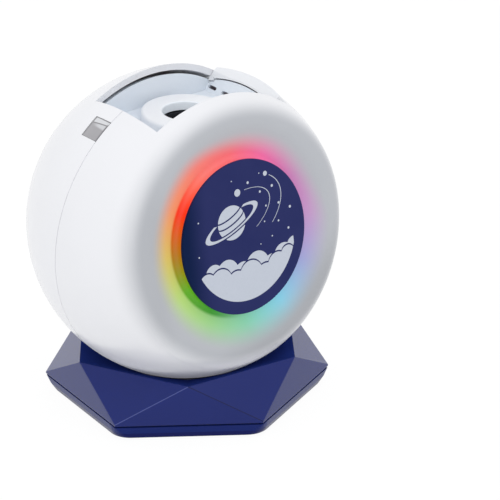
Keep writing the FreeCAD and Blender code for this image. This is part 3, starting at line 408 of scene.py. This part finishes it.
tray_work = bmesh.new()
tray_work.from_mesh(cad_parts["base_tray"].data)
bmesh.ops.bisect_plane(tray_work, geom=tray_work.verts[:] + tray_work.edges[:] + tray_work.faces[:],
                       plane_co=(0, 0, tray_band), plane_no=(0, 0, 1))
for corner in tray_work.verts:
    corner.co = rounder_tray(corner.co) or corner.co
tray_mesh = bpy.data.meshes.new("tray_moulding")
tray_work.to_mesh(tray_mesh)
tray_mesh.materials.clear()
tray_mesh.materials.append(indigo_tray)
tray_moulding = bpy.data.objects.new("tray_moulding", tray_mesh)
scene.collection.objects.link(tray_moulding)
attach(tray_moulding, "base")
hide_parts("base_tray")

# The cup and the rubber parts
# The ball rests on a rubber ring in a satin indigo cup, which turns in the base. Moulded rubber
# feet under the tray keep the projector in its place.
cup_finish = Finish("cup_indigo")
cup_skin = cup_finish.noise(0.0012, 3.0)
cup_satin = cup_finish.plain(
    Base_Color=cup_skin.mix(paint(26, 30, 84), paint(30, 34, 90)),
    Roughness=cup_skin * 0.1 + 0.4,
    Normal=cup_finish.relief(cup_skin, 0.00004),
)
dress(cup_satin, "cradle_indigo", "ball_cradle")

rubber_finish = Finish("dark_rubber")
rubber_skin = rubber_finish.noise(0.0007, 5.0, 0.7)
dark_rubber = rubber_finish.plain(
    Base_Color=rubber_skin.mix(paint(38, 38, 41), paint(56, 56, 60)),
    Roughness=rubber_skin * 0.15 + 0.7,
    Normal=rubber_finish.relief(rubber_skin, 0.00012, 0.0004),
)
dress(dark_rubber, "foot_rubber", "base_feet")
dress(dark_rubber, "grip_rubber", "cradle_grip_ring")

# The screws
# Zinc-plated steel with a fine turned grain. They hold the base, the shells, the boards, the
# well, the engine, the fan and, with a washer, the cup; the same finish serves every size.
screw_finish = Finish("zinc_plate")
screw_grain = screw_finish.noise(0.0005, 4.0, 0.7)
zinc_plate = screw_finish.plain(
    Base_Color=screw_grain.mix(paint(150, 152, 156), paint(188, 190, 194)),
    Metallic=1.0,
    Roughness=screw_grain * 0.2 + 0.28,
    Normal=screw_finish.relief(screw_grain, 0.00003, 0.0002),
)
dress(zinc_plate, "screw_steel", "base_screws", "shell_screws", "board_screws", "tray_screws",
      "engine_screws", "fan_screws", "cradle_washer", "cradle_screw")

# The rear shell
# The back half of the ball with its rounded flat, moulded in white plastic with a polished skin.
# A painted glow stands for bounce light on the underside of both shells.
bounce_top = 0.0460
bounce_foot = 0.0345
painted_bounce_light = (0.32, 0.32, 0.33, 1.0)
no_light = (0.0, 0.0, 0.0, 1.0)
emission_strength = 0.50
shell_coat = 0.15
shell_coat_roughness = 0.15


def painted_bounce_share(finish):
    """How strong the painted bounce light is at a place on the ball's underside, 0 to 1."""
    return finish.place.along((0, 0, 1)).step(bounce_top, bounce_foot)


white_finish = Finish("white_gloss")
white_cloud = white_finish.noise(0.04)
# The emission is painted bounce light on the shell's underside
white_gloss = white_finish.plain(
    Base_Color=white_cloud.mix(paint(227, 228, 232), paint(231, 232, 236)),
    Emission_Color=painted_bounce_share(white_finish).mix(no_light, painted_bounce_light),
    Emission_Strength=emission_strength,
    Roughness=white_cloud * 0.05 + 0.24,
    Coat_Weight=shell_coat,
    Coat_Roughness=shell_coat_roughness,
)
dress(white_gloss, "shell_white", "rear_shell")

# The front shell
# Milky plastic that passes light. Sixteen coloured lamps behind the dish fill the ring round
# the panel with a soft rainbow, strongest beside the panel and gone before the crown.
panel_lean = math.radians(7.0)
panel_axis = Vector((0, -math.cos(panel_lean), math.sin(panel_lean)))
panel_up = Vector((0, math.sin(panel_lean), math.cos(panel_lean)))

# The shell is greyer inside a wide oval in its front. The glow is full at its inner distance
# from the panel's axis and gone at its outer one, sooner at the upper right.
front_start = 0.030
front_full = 0.042
veil_inner = 0.070
veil_outer = 0.082
veil_squash = 1.06
veil_share = 0.62
glow_inner = 0.0495
glow_outer = 0.0650
glow_short = 0.0048
glow_short_side = Vector((0.5, 0, 0)) + panel_up * 0.866
glow_short_start = 0.024
glow_short_full = 0.050
glow_roughness = 0.25

# Painted shade darkens the grey more at the lower right and a little at the left
low_shade = 0.18
low_shade_side = Vector((0.5, 0, 0)) - panel_up * 0.87
low_shade_start = 0.038
low_shade_full = 0.064
left_shade = 0.07
left_shade_start = 0.046
left_shade_full = 0.064

# Painted shade gives the pedestal's wall beside the panel deeper colours, most of all at its left
wall_foot = 0.0480
wall_top = 0.0456
wall_depth = 3.5
wall_gain = 1.8
wall_share = 0.10
wall_side = Vector((-0.966, 0, 0)) - panel_up * 0.259
wall_side_start = 0.15
wall_side_full = 0.75

# Shares of a turn clockwise from the top, as seen from the front, each with its colour
rainbow = (
    (0.000, (236, 112, 120)),
    (0.083, (232, 104, 164)),
    (0.167, (196, 119, 178)),
    (0.250, (187, 142, 191)),
    (0.333, (153, 157, 204)),
    (0.417, (125, 196, 218)),
    (0.500, (126, 197, 165)),
    (0.583, (148, 202, 130)),
    (0.667, (178, 210, 118)),
    (0.750, (213, 189, 98)),
    (0.833, (232, 149, 103)),
    (0.917, (236, 124, 112)),
    (1.000, (236, 112, 120)),
)


def rainbow_colour(finish, deepen=1.0, gain=1.0):
    """The rainbow round the panel's axis, its colours deepened by a power and then brightened."""
    across = finish.place.along((1, 0, 0), ball_centre)
    upward = finish.place.along(panel_up, ball_centre)
    angle = finish.wire.maths("ARCTAN2", across * -1, upward * -1)
    turn = angle / (2 * math.pi) + 0.5
    stops = [(at, tuple(min(gain * c ** deepen, 1.0) for c in paint(*colour)[:3]) + (1.0,))
             for at, colour in rainbow]
    return finish.wire.node("ShaderNodeValToRGB", {"stops": stops}, {"Fac": turn})


def panel_distance(finish, squash=1.0):
    """How far a place lies from the panel's axis, in ovals squashed from above where squash is over 1."""
    across = finish.place.along((1, 0, 0), ball_centre)
    upward = finish.place.along(panel_up, ball_centre) * squash
    return finish.wire.maths("SQRT", across * across + upward * upward)


milky_finish = Finish("milky_gloss")
milky_cloud = milky_finish.noise(0.04)
milky_radius = panel_distance(milky_finish)
milky_depth = milky_finish.place.along(panel_axis, ball_centre)
milky_front = milky_depth.step(front_start, front_full)
milky_short = milky_finish.place.along(glow_short_side, ball_centre).step(glow_short_start, glow_short_full)
milky_glow = (milky_radius + milky_short * glow_short).step(glow_outer, glow_inner) * milky_front
milky_white = milky_cloud.mix(paint(226, 227, 231), paint(230, 231, 235))
milky_grey = milky_cloud.mix(paint(175, 178, 184), paint(179, 182, 188))
milky_low = milky_finish.place.along(low_shade_side, ball_centre).step(low_shade_start, low_shade_full)
milky_left = milky_finish.place.along((-1, 0, 0)).step(left_shade_start, left_shade_full)
milky_shade = 1 - milky_low * low_shade - milky_left * left_shade
milky_veil = panel_distance(milky_finish, veil_squash).step(veil_outer, veil_inner) * milky_front
milky_rainbow = rainbow_colour(milky_finish)
milky_deep_shade = rainbow_colour(milky_finish, wall_depth, wall_gain)
milky_turned = milky_finish.place.along(wall_side, ball_centre) / milky_radius
milky_turned = milky_turned.step(wall_side_start, wall_side_full) * (1 - wall_share) + wall_share
# Painted shade on the pedestal's wall, strongest at its left
milky_wall_shade = milky_radius.step(wall_foot, wall_top) * milky_turned * milky_front
milky_lit = milky_wall_shade.mix(milky_rainbow, milky_deep_shade)
# Painted bounce light on the front shell's underside
milky_painted_bounce = painted_bounce_share(milky_finish).mix(no_light, painted_bounce_light)
milky_gloss = milky_finish.plain(
    Base_Color=milky_glow.mix(
        milky_veil.mix(milky_white, milky_grey.scaled(milky_shade)), milky_lit.scaled(veil_share)),
    Emission_Color=milky_glow.mix(milky_painted_bounce, milky_lit),
    Emission_Strength=emission_strength,
    Roughness=milky_cloud * 0.05 + milky_glow * glow_roughness + 0.26,
    Coat_Weight=(1 - milky_glow) * shell_coat,
    Coat_Roughness=shell_coat_roughness,
)
dress(milky_gloss, "shell_milky", "front_shell")

# The receiver window
# A smoke-grey window snapped into the rear shell beside the seam, with its sensor behind it.
# Its thin bevelled rim is darker, with a dark line, a pale strip along its top and a pale patch towards the
# seam.
ball_lean = math.radians(4)
window_down = (-0.766, 0.0448, -0.641)
window_top = -0.0069
window_bottom = 0.00675
window_back = (0, math.cos(ball_lean), math.sin(ball_lean))
window_seam = 0.0011
window_rear = 0.0150

# Where each mark in the window begins and is full: 0 to 1 from its top edge down or from its
# rear edge forward, with the strip and the line rising and the patch falling towards the seam
strip_slope = 0.10
strip_foot = (0.315, 0.280)
line_upper = (0.265, 0.290)
line_lower = (0.345, 0.315)
patch_slope = 0.067
patch_foot = (0.44, 0.33)
patch_forward = (0.05, 0.6)
rim_rear = (0.12, 0.06)
rim_seam = (0.91, 0.95)
rim_seam_down = (0.1, 0.2)
rim_top = (0.07, 0.03)

smoke_finish = Finish("smoke_grey")
smoke_cloud = smoke_finish.noise(0.006)
smoke_down = smoke_finish.place.along(window_down, ball_centre)
smoke_down = (smoke_down - window_top) / (window_bottom - window_top)
smoke_ahead = smoke_finish.place.along(window_back, ball_centre)
smoke_ahead = (smoke_ahead - window_rear) / (window_seam - window_rear)
smoke_sloped = smoke_down + smoke_ahead * strip_slope
smoke_patch = (smoke_down - smoke_ahead * patch_slope).step(*patch_foot) * smoke_ahead.step(*patch_forward)
smoke_line = smoke_sloped.step(*line_upper) * smoke_sloped.step(*line_lower)
smoke_rim = smoke_ahead.step(*rim_seam) * smoke_down.step(*rim_seam_down)
smoke_rim = smoke_finish.wire.maths("MAXIMUM", smoke_ahead.step(*rim_rear), smoke_rim)
smoke_rim = smoke_finish.wire.maths("MAXIMUM", smoke_rim, smoke_down.step(*rim_top))
smoke_colour = smoke_cloud.mix(paint(150, 149, 153), paint(158, 157, 161))
smoke_colour = smoke_patch.mix(smoke_colour, paint(196, 198, 202))
smoke_colour = smoke_sloped.step(*strip_foot).mix(smoke_colour, paint(205, 207, 211))
smoke_dark = smoke_finish.wire.maths("MAXIMUM", smoke_line, smoke_rim)
smoke_grey = smoke_finish.plain(
    Base_Color=smoke_dark.mix(smoke_colour, paint(126, 125, 129)),
    Roughness=smoke_cloud * 0.04 + 0.12,
    Normal=smoke_finish.relief(smoke_cloud, 0.00002, 0.0003),
    Coat_Weight=0.5,
)
dress(smoke_grey, "smoke_window", "receiver_window")

# The circuit boards and the black mouldings
# Green lacquered boards carry the receiver, the main circuit and the button switches. The chips
# and switches on them, the engine's case, the fan and the power inlet are moulded in black.
board_finish = Finish("green_board")
board_weave = board_finish.noise(0.0008, 3.0)
green_board = board_finish.plain(
    Base_Color=board_finish.noise(0.006, 4.0).mix(paint(16, 70, 42), paint(26, 96, 58)),
    Roughness=board_weave * 0.1 + 0.32,
    Normal=board_finish.relief(board_weave, 0.00004, 0.0002),
)
dress(green_board, "board_green", "receiver_board", "main_board", "button_board")

chip_finish = Finish("moulded_black")
chip_skin = chip_finish.noise(0.0005, 4.0)
moulded_black = chip_finish.plain(
    Base_Color=chip_skin.mix(paint(30, 30, 32), paint(44, 44, 47)),
    Roughness=chip_skin * 0.15 + 0.45,
    Normal=chip_finish.relief(chip_skin, 0.00003, 0.0003),
)
dress(moulded_black, "sensor_black", "receiver_sensor")
dress(moulded_black, "chip_black", "main_board_chips", "button_switches")
dress(moulded_black, "engine_black", "engine_case")
dress(moulded_black, "fan_black", "fan_frame", "fan_rotor")
dress(moulded_black, "inlet_black", "dc_jack")

# The well and its shutter
# A pale blue-grey moulding lines the well over the lens and carries the rails in which the
# curved white cover slides. The cover's leading edge is raised as a grip.
well_finish = Finish("well_grey")
well_skin = well_finish.noise(0.0007, 4.0)
well_grey = well_finish.plain(
    Base_Color=well_finish.noise(0.03).mix(paint(222, 229, 238), paint(227, 233, 240)),
    Roughness=well_skin * 0.12 + 0.38,
    Normal=well_finish.relief(well_skin, 0.00003, 0.0004),
)
dress(well_grey, "tray_grey", "lens_tray")

cover_finish = Finish("cover_white")
cover_cloud = cover_finish.noise(0.04)
cover_white = cover_finish.plain(
    Base_Color=cover_cloud.mix(paint(227, 229, 233), paint(231, 233, 237)),
    Roughness=cover_cloud * 0.05 + 0.26,
    Coat_Weight=shell_coat,
    Coat_Roughness=shell_coat_roughness,
)
dress(cover_white, "shutter_white", "shutter")

# The focus ring and the lens
# A smooth white ring turns in the well's floor; inside it a black barrel holds coated glass.
# A painted glow with a cool tint lightens the ring's bore.
ring_finish = Finish("ring_white")
ring_skin = ring_finish.noise(0.0011, 3.0)
lens_axis = (0, -math.sin(ball_lean), math.cos(ball_lean))
bore_radius = 0.0139
bore_edge = 0.0147
painted_bore_light = (0.26, 0.31, 0.35, 1.0)
# Where the painted glow lightens the ring's bore
painted_bore_share = ring_finish.place.aside(lens_axis, ball_centre).step(bore_edge, bore_radius)
ring_white = ring_finish.plain(
    Base_Color=ring_finish.noise(0.02).mix(paint(230, 232, 237), paint(234, 236, 240)),
    Emission_Color=painted_bore_share.mix(no_light, painted_bore_light),
    Emission_Strength=emission_strength,
    Roughness=ring_skin * 0.08 + 0.34,
    Normal=ring_finish.relief(ring_skin, 0.000004, 0.0004),
)
dress(ring_white, "ring_white", "focus_ring")

barrel_finish = Finish("barrel_black")
barrel_skin = barrel_finish.noise(0.0004, 4.0)
barrel_black = barrel_finish.plain(
    Base_Color=barrel_skin.mix(paint(34, 35, 42), paint(46, 47, 55)),
    Roughness=barrel_skin * 0.12 + 0.42,
    Normal=barrel_finish.relief(barrel_skin, 0.00003, 0.0002),
)
dress(barrel_black, "barrel_black", "lens_barrel", "lens_retainer")

glass_finish = Finish("coated_glass")
glass_cloud = glass_finish.noise(0.02)
coated_glass = glass_finish.plain(
    Base_Color=glass_cloud.mix(paint(205, 226, 236), paint(214, 220, 240)),
    Roughness=glass_cloud * 0.02 + 0.01,
    Transmission_Weight=1.0,
    IOR=1.52,
)
dress(coated_glass, "lens_glass", "front_lens", "rear_lens", "condenser_lens")

# The picture engine
# Behind the lens: the picture panel, the bright reflector, the lamp on its board, a finned
# aluminium heatsink and the fan.
picture_finish = Finish("picture_panel")
picture_cells = picture_finish.noise(0.002)
picture_panel = picture_finish.plain(
    Base_Color=picture_cells.mix(paint(26, 28, 36), paint(40, 42, 54)),
    Roughness=picture_cells * 0.05 + 0.08,
)
dress(picture_panel, "lcd_dark", "lcd_panel")

mirror_finish = Finish("vacuum_silver")
mirror_cloud = mirror_finish.noise(0.004)
vacuum_silver = mirror_finish.plain(
    Base_Color=mirror_cloud.mix(paint(222, 223, 224), paint(236, 236, 236)),
    Metallic=1.0,
    Roughness=mirror_cloud * 0.05 + 0.06,
)
dress(vacuum_silver, "reflector_silver", "light_reflector")

lamp_finish = Finish("white_board")
lamp_skin = lamp_finish.noise(0.001, 3.0)
white_board = lamp_finish.plain(
    Base_Color=lamp_skin.mix(paint(226, 226, 221), paint(238, 238, 234)),
    Roughness=lamp_skin * 0.1 + 0.4,
    Normal=lamp_finish.relief(lamp_skin, 0.00003, 0.0002),
)
dress(white_board, "board_white", "lamp_board", "glow_board", "glow_channel")

phosphor_finish = Finish("phosphor")
phosphor_grain = phosphor_finish.noise(0.0006, 3.0)
phosphor = phosphor_finish.plain(
    Base_Color=phosphor_grain.mix(paint(232, 216, 120), paint(244, 232, 150)),
    Roughness=phosphor_grain * 0.1 + 0.25,
)
dress(phosphor, "led_yellow", "lamp_led", "glow_leds")

fin_finish = Finish("extruded_aluminium")
fin_grain = fin_finish.noise(0.0007, 5.0, 0.7)
extruded_aluminium = fin_finish.plain(
    Base_Color=fin_grain.mix(paint(184, 186, 190), paint(206, 208, 212)),
    Metallic=1.0,
    Roughness=fin_grain * 0.15 + 0.35,
    Normal=fin_finish.relief(fin_grain, 0.00003, 0.0002),
)
dress(extruded_aluminium, "heatsink_aluminium", "heatsink")

# The plug housings
# Cream nylon housings soldered to the main board take the leads of the lamps, the fan and the
# speaker.
plug_finish = Finish("cream_plugs")
plug_skin = plug_finish.noise(0.001, 3.0)
cream_plugs = plug_finish.plain(
    Base_Color=plug_skin.mix(paint(222, 212, 186), paint(232, 224, 202)),
    Roughness=plug_skin * 0.1 + 0.4,
    Normal=plug_finish.relief(plug_skin, 0.00003, 0.0003),
)
dress(cream_plugs, "connector_cream", "main_board_connectors")

# The round panel
# A deep navy disc with a satin gloss, set on the pedestal in the middle of the dish, and darker
# towards its left edge.
navy_finish = Finish("panel_navy")
navy_cloud = navy_finish.noise(0.02)
left_dark_start = -0.024
left_dark_full = -0.042
navy_left_darker = navy_finish.place.along((1, 0, 0), ball_centre).step(left_dark_start, left_dark_full)
panel_navy = navy_finish.plain(
    Base_Color=navy_left_darker.mix(navy_cloud.mix(paint(35, 42, 91), paint(46, 51, 98)), paint(10, 28, 67)),
    Roughness=navy_cloud * 0.05 + 0.28,
    Specular_IOR_Level=0.04,
    Normal=navy_finish.relief(navy_cloud, 0.000003, 0.0004),
)
dress(panel_navy, "panel_navy", "disc_panel")

# The print on the panel
# Pale ink screened on the navy: a ringed planet and two small ones on thin orbits, over a bank
# of clouds, with round dots between. Each shape is a flat film under a tenth of a millimetre thick.
panel_face = 0.0549
ink_film = 0.00006
ink_sunk = 0.00003
ink_least = 0.00004
dot_steps = 24
ink_corners = []
ink_faces = []


def ink_strip(left, right, middle=(0.0, 0.0), tilt=0.0):
    """A film of ink between two lines of places, across and upward in metres from middle."""
    start = len(ink_corners)
    count = len(left)
    cosine, sine = math.cos(tilt), math.sin(tilt)
    for height in (-ink_sunk, ink_film):
        for x, y in left + right:
            across = middle[0] + x * cosine - y * sine
            upward = middle[1] + x * sine + y * cosine
            ink_corners.append(ball_centre + Vector((across, 0, 0)) + panel_up * upward
                               + panel_axis * (panel_face + height))
    low_left, low_right, top_left, top_right = (start + count * k for k in range(4))
    for k in range(count - 1):
        ink_faces.append((top_left + k, top_left + k + 1, top_right + k + 1, top_right + k))
        ink_faces.append((low_left + k, low_right + k, low_right + k + 1, low_left + k + 1))
        ink_faces.append((low_left + k, low_left + k + 1, top_left + k + 1, top_left + k))
        ink_faces.append((low_right + k, top_right + k, top_right + k + 1, low_right + k + 1))
    for k in (0, count - 1):
        ink_faces.append((low_left + k, top_left + k, top_right + k, low_right + k))


def ink_between(low, high, start, end, steps, middle=(0.0, 0.0), tilt=0.0):
    """Ink wherever the height high(x) lies above low(x), for x from start to end.

    Its steps crowd together at both ends, where round outlines are steep.
    """
    run = []
    for k in range(steps + 1):
        x = (start + end) / 2 - (end - start) / 2 * math.cos(math.pi * (k + 0.25) / (steps + 0.5))
        if high(x) - low(x) > ink_least:
            run.append(x)
        if run and (run[-1] != x or k == steps):
            if len(run) > 1:
                ink_strip([(x, low(x)) for x in run], [(x, high(x)) for x in run], middle, tilt)
            run = []


def half_round(wide, tall):
    """The upper half of an oval as a height over x."""
    return lambda x: tall * math.sqrt(max(1 - (x / wide) ** 2, 0.0))


def ink_oval(wide, tall, line, start, end, steps, middle, tilt=0.0):
    """A line of ink along part of an oval, its angles in degrees."""
    inner, outer = [], []
    for k in range(steps + 1):
        angle = math.radians(start + (end - start) * k / steps)
        inner.append(((wide - line) * math.cos(angle), (tall - line * tall / wide) * math.sin(angle)))
        outer.append((wide * math.cos(angle), tall * math.sin(angle)))
    ink_strip(inner, outer, middle, tilt)


def turned_over(height):
    return lambda x: -height(x)


def ink_dot(radius, middle):
    rise = half_round(radius, radius)
    ink_between(turned_over(rise), rise, -radius, radius, dot_steps, middle)


planet_middle = (-0.0085, 0.0105)
planet_tilt = math.radians(20)
planet_radius = 0.0098
ring_wide = 0.0205
ring_tall = 0.0058
ring_line = 0.0034
ink_gap = 0.0008
stripe_gap = 0.0009
globe_steps = 60
ring_steps = 120
globe = half_round(planet_radius, planet_radius)
ring_inner = half_round(ring_wide - ring_line, ring_tall * (1 - ring_line / ring_wide))
ring_outer = half_round(ring_wide, ring_tall)
band_one = 0.0012
band_two = 0.0052


def latitude(rise):
    """The edge of a band on the globe, bowed like the ring."""
    bow = half_round(planet_radius, planet_radius * ring_tall / ring_wide)
    return lambda x: rise - bow(x)


def lower(*heights):
    return lambda x: min(height(x) for height in heights)


def upper(*heights):
    return lambda x: max(height(x) for height in heights)


def lifted(height, rise):
    return lambda x: height(x) + rise


globe_parts = (
    (turned_over(globe), lifted(turned_over(ring_outer), -ink_gap)),
    (lifted(turned_over(ring_inner), ink_gap), lower(globe, latitude(band_one))),
    (lifted(latitude(band_one), stripe_gap), lower(globe, latitude(band_two))),
    (lifted(latitude(band_two), stripe_gap), globe),
)
for low, high in globe_parts:
    ink_between(upper(low, turned_over(globe)), high, -planet_radius, planet_radius, globe_steps,
                planet_middle, planet_tilt)
ring_hidden = math.degrees(math.asin((planet_radius + ink_gap) / (ring_wide - ring_line / 2)))
ink_oval(ring_wide, ring_tall, ring_line, 90 + ring_hidden, 450 - ring_hidden, ring_steps,
         planet_middle, planet_tilt)

# Two thin orbits, each with a small planet a little past the end of its line
orbits = ((0.0300, 0.0138, -62, 58, 0.0021), (0.0385, 0.0215, -50, 26, 0.0014))
orbit_line = 0.00045
orbit_steps = 90
past_in_radii = 2.2
past_in_degrees = 2
for wide, tall, start, end, radius in orbits:
    ink_oval(wide, tall, orbit_line, start, end, orbit_steps, planet_middle, planet_tilt)
    angle = math.radians(end + math.degrees(past_in_radii * radius / wide) + past_in_degrees)
    x, y = wide * math.cos(angle), tall * math.sin(angle)
    middle = (planet_middle[0] + x * math.cos(planet_tilt) - y * math.sin(planet_tilt),
              planet_middle[1] + x * math.sin(planet_tilt) + y * math.cos(planet_tilt))
    ink_dot(radius, middle)

# The bank of clouds, a near one and a far one, cut off by a round border
border = 0.0365
cloud_reach = 0.0345
puffs = ((-0.0290, -0.0200, 0.0060), (-0.0195, -0.0215, 0.0078), (-0.0085, -0.0245, 0.0070),
         (0.0020, -0.0225, 0.0084), (0.0125, -0.0250, 0.0066), (0.0215, -0.0215, 0.0072),
         (0.0295, -0.0175, 0.0052))
far_shift = 0.0050
far_rise = 0.0042
cloud_gap = 0.0009
cloud_steps = 260


def cloud_top(shift, rise):
    """The upper edge of a row of round puffs."""
    def height(x):
        tops = [y + rise + math.sqrt(r * r - (x - at - shift) ** 2)
                for at, y, r in puffs if abs(x - at - shift) < r]
        return max(tops, default=-border)
    return height


below = turned_over(half_round(border, border))
within = half_round(border, border)
near_cloud = cloud_top(0.0, 0.0)
far_cloud = lower(cloud_top(far_shift, far_rise), within)
far_foot = upper(lifted(near_cloud, cloud_gap), below)
ink_between(below, near_cloud, -cloud_reach, cloud_reach, cloud_steps)
ink_between(far_foot, far_cloud, -cloud_reach, cloud_reach, cloud_steps)

# Round dots in the sky, spread by turns of the golden angle and left out near the other shapes
dot_count = 46
golden_turn = math.radians(137.508)
dot_least = 0.00035
dot_growth = 0.00011
dot_off_cloud = 0.003
dot_off_ring = 0.001
for k in range(dot_count):
    reach = border * math.sqrt((k + 0.5) / dot_count)
    x, y = reach * math.cos(k * golden_turn), reach * math.sin(k * golden_turn)
    off_planet = math.hypot(x - planet_middle[0], y - planet_middle[1])
    if y < far_cloud(x) + dot_off_cloud or off_planet < ring_wide + dot_off_ring:
        continue
    ink_dot(dot_least + dot_growth * (k * 7 % 5), (x, y))

ink_mesh = bpy.data.meshes.new("panel_print")
ink_mesh.from_pydata(ink_corners, [], ink_faces)
ink_work = bmesh.new()
ink_work.from_mesh(ink_mesh)
bmesh.ops.recalc_face_normals(ink_work, faces=ink_work.faces)
ink_work.to_mesh(ink_mesh)
ink_finish = Finish("pale_ink")
ink_grain = ink_finish.noise(0.0009, 3.0)
pale_ink = ink_finish.plain(
    Base_Color=ink_grain.mix(paint(184, 191, 204), paint(193, 199, 211)),
    Roughness=ink_grain * 0.1 + 0.4,
    Specular_IOR_Level=0.2,
)
ink_mesh.materials.append(pale_ink)
panel_print = bpy.data.objects.new("panel_print", ink_mesh)
scene.collection.objects.link(panel_print)
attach(panel_print, "ball")

# The speaker
# A pressed steel basket with a treated paper cone and a ferrite magnet, held behind the grille
# in the rear shell.
steel_finish = Finish("basket_steel")
steel_skin = steel_finish.noise(0.001, 3.0)
basket_steel = steel_finish.plain(
    Base_Color=steel_skin.mix(paint(48, 48, 50), paint(62, 62, 64)),
    Metallic=0.4,
    Roughness=steel_skin * 0.1 + 0.4,
    Normal=steel_finish.relief(steel_skin, 0.00003, 0.0003),
)
dress(basket_steel, "speaker_steel", "speaker_basket")

cone_finish = Finish("paper_cone")
cone_fibres = cone_finish.noise(0.0006, 6.0, 0.8)
paper_cone = cone_finish.plain(
    Base_Color=cone_fibres.mix(paint(28, 28, 30), paint(52, 52, 54)),
    Roughness=cone_fibres * 0.1 + 0.75,
    Normal=cone_finish.relief(cone_fibres, 0.0001),
)
dress(paper_cone, "cone_paper", "speaker_cone")

ferrite_finish = Finish("ferrite")
ferrite_grain = ferrite_finish.noise(0.0008, 5.0, 0.8)
ferrite = ferrite_finish.plain(
    Base_Color=ferrite_grain.mix(paint(58, 58, 62), paint(82, 82, 86)),
    Metallic=0.3,
    Roughness=ferrite_grain * 0.2 + 0.5,
    Normal=ferrite_finish.relief(ferrite_grain, 0.00006, 0.0004),
)
dress(ferrite, "magnet_grey", "speaker_magnet")

# The buttons
# Three indigo buttons in a row over the grille, moulded in one colour with the base: power in the
# middle, volume at its sides.
button_finish = Finish("button_indigo")
button_skin = button_finish.noise(0.0009, 3.0)
button_indigo = button_finish.plain(
    Base_Color=button_skin.mix(paint(34, 42, 112), paint(40, 48, 120)),
    Roughness=button_skin * 0.08 + 0.3,
    Normal=button_finish.relief(button_skin, 0.00003, 0.0003),
)
dress(button_indigo, "button_blue", "power_button", "volume_up_button", "volume_down_button")
